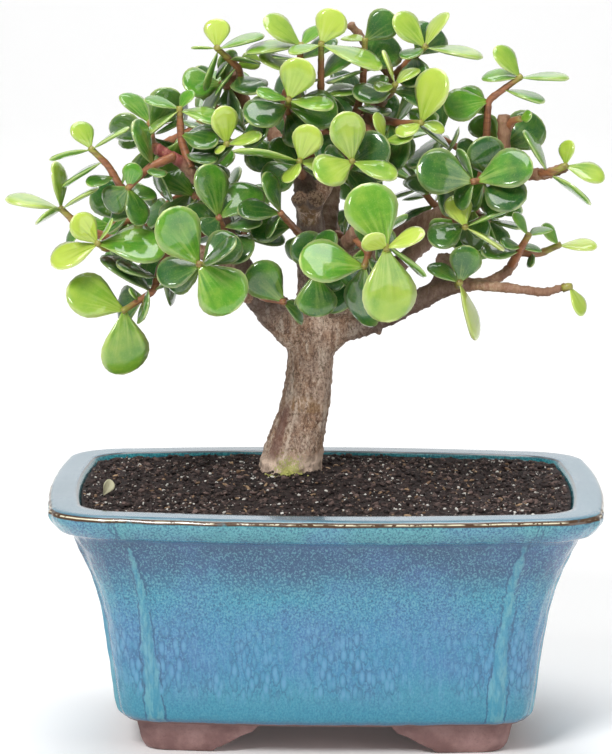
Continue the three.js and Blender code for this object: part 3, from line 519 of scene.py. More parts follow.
@dataclass(frozen=True)
class CrownRule:
    """How the stems behind and within the crown are laid out, and how leaves clear each other."""

    # The crown's middle and half sizes on the drawing, and the stems that fill it.
    u: float = 300
    v: float = 208
    back: float = 14
    across: float = 196
    up: float = 142
    deep: float = 46
    count: int = 22
    pairs: int = 4
    apart: float = 5
    top: float = 0.92
    span: float = 1.25
    fan: float = 1.15
    fan_turned: float = 0.24
    short_reach: float = 0.6
    short_height: float = 0.85
    sag: float = 2.0
    limbs: tuple[str, ...] = ("back", "backLeft", "backRight", "left", "middle", "high", "top", "topLeft")
    nudges: tuple[Triple, ...] = (
        (0, 0, 0), (0, 0, 2.5), (2.5, 0, 0), (-2.5, 0, 0), (0, 2.5, 0), (0, 0, -2.5), (2, 2, 2), (-2, 2, 2),
    )
    # A leaf's form, and how near it may come to stems and to other leaves.
    thickness: float = 1.3
    clearance: float = 0.3
    cup: float = 0.05
    droop: float = 0.07
    width_of_length: float = 0.8
    blade_middle: float = 0.54
    blade_half: float = 0.46
    edge_places: int = 24
    edge_radius: float = 0.2
    petiole_radius: float = 0.9
    same_node: float = 2.5
    ball_step: float = 1.5
    ball_reach: float = 3
    own_node: float = 1.6
    above_rim: float = 4
    shrinks: tuple[float, ...] = (1, 0.88, 0.75, 0.64)
    tilts: tuple[float, ...] = (0, 0.22, -0.22, 0.45, -0.45, 0.7, -0.7)
    rolls: tuple[float, ...] = (0, 0.3, -0.3, 0.6, -0.6, 0.95, -0.95)
    # A stem, and the opposite pairs of leaves along it.
    root_sunk: float = 0.7
    root_step: float = 0.13
    stem_root: float = 1.3
    stem_tip: float = 0.8
    fill_shares: tuple[float, float] = (1, 0.2)
    drawn_shares: tuple[float, float] = (0.72, 0.3)
    drawn_pairs: int = 2
    swing: float = 0.7
    # The knot of old cuts on the middle limb, which shows from the front.
    knot: Triple = (304, 205, 12)
    knot_wide: float = 5.6
    knot_tall: float = 7
    leaf_middle: float = 0.58

    def hides_knot(self, leaf: Leaf) -> bool:
        """Whether a leaf hides the middle limb's knot.

        Args:
            leaf: The leaf to try.

        Returns:
            True where it lies in front of the knot.
        """
        middle = leaf.points(np.array([self.leaf_middle]), np.zeros(1))[0]
        u, v, back = self.knot
        aside, _, up = np.abs(middle - DRAWING.spot(u, v, middle[1]))
        return bool(middle[1] < back and aside < self.knot_wide and up < self.knot_tall)


RULE = CrownRule()


class SeededDraw:
    """A seeded run of numbers from 0 to 1, the same as in the part's source."""

    factor: int = 1664525
    step: int = 1013904223
    size: int = 2**32

    def __init__(self, seed: int) -> None:
        """Start the run."""
        self.state = seed

    def __call__(self) -> float:
        """The next number."""
        self.state = (self.factor * self.state + self.step) % self.size
        return self.state / self.size


@dataclass
class Leaf:
    """A leaf: its root, its heading, the way its upper face looks, its length and width, and its tone."""

    root: Array
    heading: Array
    side: Array
    face: Array
    length: float
    width: float
    fresh: float = 0.5

    @classmethod
    def aimed(
        cls, root: Array, heading: Array, hint: Array, length: float, width: float, roll: float
    ) -> Leaf:
        """Make a leaf whose face looks as nearly as it can along a hint, then rolls about its heading.

        Args:
            root: Where it grows from.
            heading: The way it points, of length one.
            hint: Roughly the way its face looks.
            length: Its length.
            width: Its width.
            roll: Its turn about its heading, in radians.

        Returns:
            The leaf.
        """
        side = unit(np.cross(heading, hint))
        face = turned(unit(np.cross(side, heading)), heading, roll)
        return cls(root, heading, np.cross(heading, face), face, length, width)

    @classmethod
    def drawn(cls, root: Array, tip: Array, looks_wide: float) -> Leaf:
        """Make a leaf whose tip is at a place and which looks a given width from the front.

        Args:
            root: Where it grows from.
            tip: Where its tip is.
            looks_wide: The width that it shows.

        Returns:
            The leaf, rolled to the side that turns its face further up.
        """
        reach = tip - root
        length = float(np.linalg.norm(reach))
        width = max(looks_wide, RULE.width_of_length * length)
        roll = math.acos(min(1.0, looks_wide / width))
        first, second = (
            cls.aimed(root, reach / length, DRAWING.to_eye, length, width, turn) for turn in (roll, -roll)
        )
        return first if first.face[2] >= second.face[2] else second

    def points(self, along: Array, across: Array, lift: Array | float = 0.0) -> Array:
        """Places on the leaf.

        The blade is cupped by cup width across^2 and its tip bends down by droop length along^2.

        Args:
            along: Shares of the length.
            across: Shares of the half width.
            lift: Distances above the middle surface.

        Returns:
            Rows of places.
        """
        curl = RULE.cup * self.width * across**2 - RULE.droop * self.length * along**2 + lift
        return (
            self.root
            + np.multiply.outer(along * self.length, self.heading)
            + np.multiply.outer(across * self.width / 2, self.side)
            + np.multiply.outer(curl, self.face)
        )

    def edge(self) -> Array:
        """Places round the edge, an egg from 0.14 of the length to the tip, to tell whether it clears.

        Returns:
            Rows of places.
        """
        turn = (np.arange(RULE.edge_places) + 0.5) / RULE.edge_places * FULL_TURN
        along = 0.14 + 0.86 * (0.5 - 0.5 * np.cos(turn))
        return self.points(along, np.sin(turn) * (1 - 0.22 * np.cos(turn)))

    def petiole(self) -> Array:
        """Two places on the leaf's narrow foot."""
        return self.points(np.array([0.02, 0.08]), np.zeros(2))

    def blade(self) -> Blade:
        """The leaf's root, heading, side, face, length and width."""
        return self.root, self.heading, self.side, self.face, self.length, self.width

    def tilted(self, shrink: float, tilt: float, roll: float) -> Leaf:
        """The same leaf made smaller, tilted about its side and rolled about its heading.

        Args:
            shrink: The share of its size that is kept.
            tilt: The turn about its side, in radians.
            roll: The turn about its heading, in radians.

        Returns:
            The new leaf.
        """
        heading = turned(self.heading, self.side, tilt)
        face = turned(turned(self.face, self.side, tilt), heading, roll)
        side = np.cross(heading, face)
        return Leaf(self.root, heading, side, face, self.length * shrink, self.width * shrink, self.fresh)


class Blades:
    """The leaves placed so far, as arrays, so that one can be tested against them all at once."""

    def __init__(self) -> None:
        """Start with none."""
        self.placed: list[Blade] = []
        self.edges = np.zeros((0, RULE.edge_places, 3))
        self.petioles = np.zeros((0, 2, 3))

    def add(self, leaf: Leaf) -> None:
        """Take in a leaf.

        Args:
            leaf: The leaf, in its final place.
        """
        self.placed.append(leaf.blade())
        self.blades = [np.array(rows) for rows in zip(*self.placed)]
        self.edges = np.concatenate([self.edges, leaf.edge()[None]])
        self.petioles = np.concatenate([self.petioles, leaf.petiole()[None]])

    def meet(self, leaf: Leaf) -> bool:
        """Whether a leaf comes too near to any of them.

        Args:
            leaf: The leaf to try.

        Returns:
            True where a blade comes nearer than the clearance to another's edge or petiole.
        """
        if not self.placed:
            return False
        roots, lengths = self.blades[0], self.blades[4]
        away = np.linalg.norm(roots - leaf.root, axis=1)
        near = np.flatnonzero(away <= leaf.length + lengths)
        if not len(near):
            return False
        mine = *(vector[None, None] for vector in leaf.blade()[:4]), leaf.length, leaf.width
        theirs = tuple(rows[near][:, None] for rows in self.blades)
        if near_blade(mine, self.edges[near], RULE.edge_radius).any():
            return True
        if near_blade(theirs, leaf.edge()[None], RULE.edge_radius).any():
            return True
        far = away[near] > RULE.same_node
        touching = near_blade(mine, self.petioles[near], RULE.petiole_radius).any(axis=1)
        touched = near_blade(theirs, leaf.petiole()[None], RULE.petiole_radius).any(axis=1)
        return bool((far & (touching | touched)).any())


def near_blade(blade: Blade, points: Array, radius: Array | float) -> Array:
    """Whether balls come nearer to blades than the clearance.

    A ball is near where it lies within the blade's ellipse grown by its radius and the clearance, and
    within half the thickness grown by the same from the blade's cupped middle surface.

    Args:
        blade: The blades' roots, headings, sides, faces, lengths and widths.
        points: The balls' middles.
        radius: The balls' radii.

    Returns:
        True where a ball is near.
    """
    root, heading, side, face, length, width = blade
    away = points - root
    along = (away * heading).sum(axis=-1)
    across = (away * side).sum(axis=-1)
    grown = radius + RULE.clearance
    lengthwise = (along - RULE.blade_middle * length) / (RULE.blade_half * length + grown)
    inside = lengthwise**2 + (across / (width / 2 + grown)) ** 2 <= 1
    sag = RULE.cup * width * (2 * across / width) ** 2 - RULE.droop * length * (along / length) ** 2
    return inside & (np.abs((away * face).sum(axis=-1) - sag) < RULE.thickness / 2 + grown)


@dataclass
class Balls:
    """Balls along a stem or a limb, close enough together to stand for it."""

    places: Array
    radii: Array

    @classmethod
    def along(cls, places: Array, radii: Array) -> Balls:
        """Make balls at most a step apart along straight runs between places.

        Args:
            places: Where the runs start and end, a row each.
            radii: The radius at each.

        Returns:
            The balls.
        """
        centres, sizes = [], []
        for start, end, first, last in zip(places[:-1], places[1:], radii[:-1], radii[1:]):
            count = math.ceil(float(np.linalg.norm(end - start)) / RULE.ball_step) + 1
            share = np.linspace(0, 1, count)
            centres.append(start + np.multiply.outer(share, end - start))
            sizes.append(first + (last - first) * share)
        return cls(np.concatenate(centres), np.concatenate(sizes))

    @classmethod
    def joined(cls, parts: list[Balls]) -> Balls:
        """Put several runs of balls together."""
        return cls(np.concatenate([p.places for p in parts]), np.concatenate([p.radii for p in parts]))

    def near(self, leaf: Leaf) -> bool:
        """Whether any ball comes too near to a leaf, past the leaf's own place on its stem.

        Args:
            leaf: The leaf to try.

        Returns:
            True where one does.
        """
        away = np.linalg.norm(self.places - leaf.root, axis=1)
        close = (away <= leaf.length + self.radii + RULE.ball_reach) & (away > self.radii + RULE.own_node)
        return bool(near_blade(leaf.blade(), self.places[close], self.radii[close]).any())


def limb_line(name: str) -> tuple[Array, Array]:
    """A limb's places and radii."""
    places, radii = zip(*((DRAWING.spot(*at), radius) for *at, radius in LIMBS[name]))
    return np.array(places), np.array(radii)


@dataclass
class Shoot:
    """A leafy stem in space: its way, its drawn leaves and pairs, and the leaves placed on it."""

    way: Array
    drawn: list[DrawnLeaf] = field(default_factory=list)
    pairs: int = 0
    lone: bool = False
    leaves: list[Leaf] = field(default_factory=list)

    def radii(self) -> Array:
        """The stem's radius at each place of its way."""
        share = np.arange(len(self.way)) / (len(self.way) - 1)
        return RULE.stem_root + (RULE.stem_tip - RULE.stem_root) * share

    def at(self, share: float, step: int = 0) -> tuple[Array, Array]:
        """The place and the heading at a share of the stem's length, short of its cut end.

        Args:
            share: The share, 0 at the stem's root.
            step: How many small steps to go back towards the root.

        Returns:
            The place and the heading.
        """
        runs = np.diff(self.way, axis=0)
        lengths = np.linalg.norm(runs, axis=1)
        left = min(share * lengths.sum(), lengths.sum() - RULE.root_sunk) - step * RULE.root_step
        for start, run, length in zip(self.way[:-1], runs, lengths):
            if left <= length:
                break
            left -= length
        heading = run / length
        return start + heading * min(left, length), heading


class Crown:
    """Places every leafy stem and every leaf, by the same rules as the part's source."""

    seed: int = 20

    def __init__(self) -> None:
        """Lay out the stems, then the leaves."""
        self.draw = SeededDraw(self.seed)
        drawn = [
            Shoot(np.array([DRAWING.spot(*place) for place in shoot.way]), shoot.leaves, 0, shoot.lone)
            for shoot in SHOOTS
        ]
        fills = [Shoot(way, [], RULE.pairs) for way in self.fill_ways([shoot.way[0] for shoot in drawn])]
        self.shoots = drawn + fills
        stems: list[Balls] = []
        for shoot in self.shoots:
            if shoot.pairs and stems:
                self.nudge(shoot, Balls.joined(stems))
            stems.append(Balls.along(shoot.way, shoot.radii()))
        self.balls = Balls.joined([Balls.along(*limb_line(name)) for name in LIMBS] + stems)
        self.blades = Blades()
        self.place_drawn()
        self.place_pairs()
        count = sum(len(shoot.leaves) for shoot in self.shoots)
        LOG.info("%d leaves on %d stems", count, len(self.shoots))

    def fill_ways(self, taken: list[Array]) -> list[Array]:
        """Lay the filling stems out in even turns round the back, each from the nearest free limb.

        Args:
            taken: Where stems start so far, to which each new start is added.

        Returns:
            Each stem's start, middle and tip.
        """
        lines = [limb_line(name) for name in RULE.limbs]
        places = Balls.joined([Balls.along(line[1:], radii[1:]) for line, radii in lines]).places
        golden = math.pi * (3 - math.sqrt(5))
        ways = []
        for k in range(RULE.count):
            height = RULE.top - (RULE.span * (k + 0.5)) / RULE.count
            flat = math.sqrt(1 - height * height)
            turn = abs(((k * golden + 0.5) % FULL_TURN) - math.pi) * RULE.fan - RULE.fan_turned
            short = k % 3 == 1
            reach = RULE.short_reach if short else 1
            tip = DRAWING.spot(
                RULE.u + RULE.across * flat * reach * math.cos(turn),
                RULE.v - RULE.up * height * (RULE.short_height if short else 1),
                RULE.back + RULE.deep * flat * reach * math.sin(turn),
            )
            away = np.linalg.norm(places[:, None] - np.array(taken)[None], axis=2)
            free = places[away.min(axis=1) > RULE.apart]
            root = free[np.linalg.norm(free - tip, axis=1).argmin()]
            taken.append(root)
            middle = root + (tip - root) * 0.5 - np.array([0, 0, RULE.sag])
            ways.append(np.array([root, middle, tip]))
        return ways

    def nudge(self, shoot: Shoot, others: Balls) -> None:
        """Move a filling stem by the first nudge, growing along it, that clears the stems before it.

        Args:
            shoot: The stem to move.
            others: The stems before it.
        """
        steps = np.arange(len(shoot.way))[:, None]
        for nudge in RULE.nudges:
            moved = shoot.way + steps * np.array(nudge)
            mine = Balls.along(moved, shoot.radii())
            away = np.linalg.norm(mine.places[:, None] - others.places[None], axis=2)
            if (away >= mine.radii[:, None] + others.radii[None] + RULE.clearance).all():
                shoot.way = moved
                return

    def place(self, shoot: Shoot, leaf: Leaf, by_rule: bool = False) -> None:
        """Turn, tilt or shrink a leaf until it clears all the rest, or leave it out.

        Args:
            shoot: The stem that bears it.
            leaf: The leaf as first laid.
            by_rule: Whether the rule laid it, so that it must not hide the middle limb's knot.
        """
        floor = PLAN.height + RULE.above_rim
        for shrink, tilt, roll in product(RULE.shrinks, RULE.tilts, RULE.rolls):
            tried = leaf.tilted(shrink, tilt, roll)
            low = tried.edge()[:, 2].min() < floor
            if low or self.balls.near(tried) or self.blades.meet(tried):
                continue
            self.blades.add(tried)
            if not (by_rule and RULE.hides_knot(tried)):
                shoot.leaves.append(tried)
            return

    def place_drawn(self) -> None:
        """Place the leaves that are drawn one by one."""
        for shoot in self.shoots:
            for i, (share, u, v, looks_wide, back, tone) in enumerate(shoot.drawn):
                root, _ = shoot.at(share, i)
                tip = DRAWING.spot(u, v, root[1] + back)
                leaf = Leaf.drawn(root, tip, looks_wide / DRAWING.scale * (DRAWING.distance + root[1]))
                leaf.fresh = tone
                self.place(shoot, leaf)

    def place_pairs(self) -> None:
        """Place opposite pairs, each turned a quarter against the last.

        The pair at a stem's tip, which only a filling stem has, is smaller and younger and points forwards.
        """
        for shoot in self.shoots:
            if shoot.lone:
                continue
            start, step = RULE.fill_shares if shoot.pairs else RULE.drawn_shares
            for k in range(shoot.pairs or RULE.drawn_pairs):
                share = start - step * k
                forwards, shortest, tone = (1.1, 9, 0.32) if share > 0.99 else (0.45, 11, 0.1)
                _, heading = shoot.at(share)
                across = unit(np.array([-heading[1], heading[0], 0.05]))
                outward = turned(across, heading, (k % 2) * (math.pi / 2) + self.draw() * RULE.swing)
                hint = np.array([0, -0.25, 1]) + heading * 0.35
                for hand in (1, -1):
                    way = unit(outward * hand + heading * forwards)
                    length = shortest + 3 * self.draw()
                    width = length * (0.78 + 0.12 * self.draw())
                    root, _ = shoot.at(share, 0 if hand > 0 else 1)
                    leaf = Leaf.aimed(root, way, hint, length, width, (self.draw() - 0.5) * 0.5)
                    leaf.fresh = tone
                    self.place(shoot, leaf, by_rule=True)


def linked(name: str, data: Any) -> Object:
    """Make an object of data and put it in the scene.

    Args:
        name: The object's name.
        data: Its mesh, lamp or camera.

    Returns:
        The object.
    """
    made = bpy.data.objects.new(name, data)
    bpy.context.scene.collection.objects.link(made)
    return made


def note_values(mesh: Mesh, values: dict[str, Array]) -> None:
    """Give each vertex its named values, which the materials read."""
    for key, value in values.items():
        mesh.attributes.new(key, "FLOAT", "POINT").data.foreach_set("value", value.astype(np.float32))


def vertices_of(mesh: Mesh) -> Array:
    """A mesh's vertices, a row each.

    Args:
        mesh: The mesh.

    Returns:
        Rows of places.
    """
    places = np.empty(len(mesh.vertices) * 3)
    mesh.vertices.foreach_get("co", places)
    return places.reshape(-1, 3)


def move_vertices(mesh: Mesh, places: Array) -> None:
    """Put a mesh's vertices at new places."""
    mesh.vertices.foreach_set("co", places.reshape(-1))
    mesh.update()


@dataclass
class Surface:
    """A mesh in the making: places in millimetres, faces, and values for each place."""

    places: Array
    faces: Array
    values: dict[str, Array] = field(default_factory=dict)
    material_of_face: Array | None = None

    @classmethod
    def grid(cls, places: Array, close_rows: bool = True, **values: Array) -> Surface:
        """Join a grid of places into faces.

        Args:
            places: An array of rows by columns by three.
            close_rows: Whether each row's last place joins its first.
            values: Named arrays of rows by columns.

        Returns:
            The surface, with a four-sided face for each cell.
        """
        rows, columns = places.shape[:2]
        index = np.arange(rows * columns).reshape(rows, columns)
        nxt = np.roll(index, -1, axis=1) if close_rows else index[:, 1:]
        here = index if close_rows else index[:, :-1]
        cells = np.stack([here[:-1], nxt[:-1], nxt[1:], here[1:]], axis=-1)
        flat = {name: np.asarray(value, float).reshape(-1) for name, value in values.items()}
        return cls(places.reshape(-1, 3), cells.reshape(-1, 4), flat)

    @classmethod
    def joined(cls, parts: list[Surface]) -> Surface:
        """Put surfaces together in one.

        Args:
            parts: Surfaces with the same named values.

        Returns:
            One surface.
        """
        starts = np.cumsum([0] + [len(part.places) for part in parts[:-1]])
        names = parts[0].values
        slots = None
        if parts[0].material_of_face is not None:
            slots = np.concatenate([part.material_of_face for part in parts])
        return cls(
            np.concatenate([part.places for part in parts]),
            np.concatenate([part.faces + start for part, start in zip(parts, starts)]),
            {name: np.concatenate([part.values[name] for part in parts]) for name in names},
            slots,
        )

    def capped(self, columns: int) -> Surface:
        """Close the first and the last row of a grid with a fan of triangles to the row's middle.

        Args:
            columns: How many places a row has.

        Returns:
            The closed surface.
        """
        first = np.arange(columns)
        last = first + len(self.places) - columns
        middles = np.array([self.places[row].mean(axis=0) for row in (first, last)])
        low, high = (np.full(columns, len(self.places) + k) for k in (0, 1))
        under = np.stack([np.roll(first, -1), first, low, low], axis=1)
        over = np.stack([last, np.roll(last, -1), high, high], axis=1)
        values = {
            name: np.concatenate([value, [value[first].mean(), value[last].mean()]])
            for name, value in self.values.items()
        }
        places = np.concatenate([self.places, middles])
        return Surface(places, np.concatenate([self.faces, under, over]), values)

    def to_mesh(self, name: str, scale: float = 1.0, offset: Array | float = 0.0) -> Mesh:
        """Make a mesh of it, scaled and then moved, with each face's doubled corners taken out.

        Args:
            name: The mesh's name.
            scale: What each place is multiplied by.
            offset: What is then added to it.

        Returns:
            The mesh.
        """
        mesh = bpy.data.meshes.new(name)
        faces = [tuple(dict.fromkeys(face)) for face in self.faces.tolist()]
        mesh.from_pydata((self.places * scale + offset).tolist(), [], faces)
        note_values(mesh, self.values)
        return mesh

    def to_object(self, name: str, offset: Array, materials: list[Material]) -> Object:
        """Make a Blender object of it, at the origin, with its place in its mesh.

        Args:
            name: The piece's name.
            offset: Where the pot's middle is in the frame, in metres.
            materials: The materials, by face number.

        Returns:
            The object, smooth shaded.
        """
        mesh = self.to_mesh(name, MILLIMETRE, offset)
        for material in materials:
            mesh.materials.append(material)
        if self.material_of_face is not None:
            mesh.polygons.foreach_set("material_index", self.material_of_face.astype(np.int32))
        mesh.shade_smooth()
        mesh.validate()
        return linked(name, mesh)


def smooth_line(places: Array, radii: Array, rounds: int, step: float = 0.8) -> tuple[Array, Array]:
    """Sample a line of straight runs at even steps and round its corners.

    Args:
        places: The line's places.
        radii: The radius at each.
        rounds: How many times each inner sample moves to the mean of itself and its neighbours.
        step: The distance between samples.

    Returns:
        The samples' places and radii.
    """
    lengths = lengths_along(places)
    at = np.linspace(0, lengths[-1], max(4, int(lengths[-1] / step) + 1))
    line = np.stack([np.interp(at, lengths, places[:, axis]) for axis in range(3)], axis=1)
    sizes = np.interp(at, lengths, radii)
    for _ in range(rounds):
        line[1:-1] = (line[:-2] + line[1:-1] + line[2:]) / 3
        sizes[1:-1] = (sizes[:-2] + sizes[1:-1] + sizes[2:]) / 3
    return line, sizes


def tube(line: Array, radii: Array, columns: int, **values: Array) -> Surface:
    """Carry a circle along a line.

    Each ring is at p + r (n cos a + b sin a), where n is one fixed direction made square to the line's
    heading and b is square to both. Both ends are closed.

    Args:
        line: The places along the line.
        radii: The radius at each.
        columns: How many places a ring has.
        values: Named values along the line.

    Returns:
        The closed tube.
    """
    heading = unit(np.gradient(line, axis=0))
    fixed = np.array([1.0, 0.13, 0.2])
    nearly_along = 0.9
    if abs(float(unit(line[-1] - line[0]) @ unit(fixed))) > nearly_along:
        fixed = np.array([0.1, 1.0, 0.2])
    normal = unit(fixed - (heading @ fixed)[:, None] * heading)
    other = np.cross(heading, normal)
    turn = np.arange(columns) / columns * FULL_TURN
    size = radii[:, None]
    rings = (
        line[:, None]
        + (size * np.cos(turn))[..., None] * normal[:, None]
        + (size * np.sin(turn))[..., None] * other[:, None]
    )
    spread = {name: np.repeat(value[:, None], columns, axis=1) for name, value in values.items()}
    return Surface.grid(rings, **spread).capped(columns)


def math_node(operation: str, swapped: bool = False) -> Callable[[SocketMath, Any], SocketMath]:
    """An arithmetic method that adds one Math node, its two values swapped or not.

    Args:
        operation: The Math node's operation.
        swapped: Whether the other value comes first.

    Returns:
        The method.
    """

    def method(self: SocketMath, other: Any) -> SocketMath:
        """Add the node."""
        values = (other, self) if swapped else (self, other)
        return self.paint.node("ShaderNodeMath", {"operation": operation}, dict(enumerate(values)))

    return method


class SocketMath:
    """A shader value that takes part in plain arithmetic."""

    __add__ = __radd__ = math_node("ADD")
    __mul__ = __rmul__ = math_node("MULTIPLY")
    __sub__ = math_node("SUBTRACT")
    __rsub__ = math_node("SUBTRACT", swapped=True)
    __pow__ = math_node("POWER")

    def __init__(self, paint: Paint, socket: Any) -> None:
        """Wrap an output socket of one of a paint's nodes."""
        self.paint = paint
        self.socket = socket

    def between(self, low: float, high: float) -> SocketMath:
        """A smooth step from 0 at low to 1 at high."""
        sockets = {"Value": self, "From Min": low, "From Max": high}
        return self.paint.node("ShaderNodeMapRange", {"interpolation_type": "SMOOTHSTEP"}, sockets)


class Paint:
    """A material built of nodes, with a colour that coats are laid over one by one."""

    def __init__(self, name: str, **constants: Any) -> None:
        """Start a material with one Principled shader and its constant settings.

        Args:
            name: The material's name.
            constants: Values of the shader's sockets, with _ for each space.
        """
        self.material = bpy.data.materials.new(name)
        self.material.use_nodes = True
        self.tree = self.material.node_tree
        self.tree.nodes.clear()
        self.shader = self.tree.nodes.new("ShaderNodeBsdfPrincipled")
        output = self.tree.nodes.new("ShaderNodeOutputMaterial")
        self.tree.links.new(self.shader.outputs[0], output.inputs[0])
        for socket, value in constants.items():
            self.shader.inputs[socket.replace("_", " ")].default_value = value
        self.colour: Any = None

    def node(
        self, kind: str, settings: dict[str, Any], sockets: dict[Any, Any], output: str | int = 0
    ) -> SocketMath:
        """Add a node.

        Args:
            kind: The node's type.
            settings: Its own settings, set first.
            sockets: Values or links of its inputs.
            output: Which output to hand back.

        Returns:
            The output, ready for arithmetic.
        """
        made = self.tree.nodes.new(kind)
        for key, value in settings.items():
            if key == "stops":
                self.set_stops(made.color_ramp, value)
            else:
                setattr(made, key, value)
        for key, value in sockets.items():
            self.feed(made.inputs[key], value)
        return SocketMath(self, made.outputs[output])

    @staticmethod
    def set_stops(ramp: Any, stops: dict[float, Triple]) -> None:
        """Give a colour ramp its stops.

        Args:
            ramp: The colour ramp.
            stops: A colour for each place from 0 to 1.
        """
        while len(ramp.elements) < len(stops):
            ramp.elements.new(0.5)
        for element, (place, colour) in zip(ramp.elements, stops.items()):
            element.position = place
            element.color = (*colour, 1.0)

    def feed(self, target: Any, value: Any) -> None:
        """Link a socket, or set its value.

        Args:
            target: The socket.
            value: A link, a colour or a number.
        """
        if isinstance(value, SocketMath):
            self.tree.links.new(value.socket, target)
        elif isinstance(value, tuple) and len(value) == 3 and target.type == "RGBA":
            target.default_value = (*value, 1.0)
        else:
            target.default_value = value

    def place(self, stretch: Triple) -> SocketMath:
        """Object coordinates in millimetres, stretched.

        Args:
            stretch: What each axis is multiplied by.

        Returns:
            The coordinates.
        """
        here = self.node("ShaderNodeTexCoord", {}, {}, "Object")
        sizes = tuple(part / MILLIMETRE for part in stretch)
        return self.node("ShaderNodeMapping", {}, {"Vector": here, "Scale": sizes})

    def value(self, name: str) -> SocketMath:
        """A named value of the piece."""
        return self.node("ShaderNodeAttribute", {"attribute_name": name}, {}, "Fac")

    def noise(
        self, scale: float, detail: float, rough: float, stretch: Triple = (1, 1, 1), twist: float = 0
    ) -> SocketMath:
        """Cloudy noise, 0 to 1, with a number of clouds to the millimetre."""
        sockets = {"Vector": self.place(stretch), "Scale": scale, "Detail": detail}
        return self.node("ShaderNodeTexNoise", {}, sockets | {"Roughness": rough, "Distortion": twist})

    def cells(self, scale: float, stretch: Triple = (1, 1, 1)) -> SocketMath:
        """Cells round scattered places: the distance to the nearest."""
        sockets = {"Vector": self.place(stretch), "Scale": scale}
        return self.node("ShaderNodeTexVoronoi", {"feature": "F1"}, sockets, "Distance")

    def mix(self, share: Any, first: Any, second: Any) -> SocketMath:
        """Mix two colours."""
        return self.node("ShaderNodeMix", {"data_type": "RGBA"}, {0: share, 6: first, 7: second}, 2)

    def coat(self, share: Any, tint: Any) -> None:
        """Lay a tint over the colour, by a share from 0 to 1."""
        self.colour = self.mix(share, self.colour, tint)

    def ramp(self, share: SocketMath, stops: dict[float, Triple]) -> SocketMath:
        """A colour that passes smoothly through stops."""
        return self.node("ShaderNodeValToRGB", {"stops": stops}, {"Fac": share})

    def done(self, height: SocketMath, strength: float, distance: float, **feeds: Any) -> Material:
        """Feed the shader.

        Args:
            height: What raises the surface.
            strength: The bump's strength.
            distance: The bump's distance in millimetres.
            feeds: What goes to the shader's other sockets.

        Returns:
            The material.
        """
        sockets = {"Height": height, "Strength": strength, "Distance": distance * MILLIMETRE}
        normal = self.node("ShaderNodeBump", {}, sockets)
        for name, value in {"Base_Color": self.colour, "Normal": normal, **feeds}.items():
            self.feed(self.shader.inputs[name.replace("_", " ")], value)
        return self.material


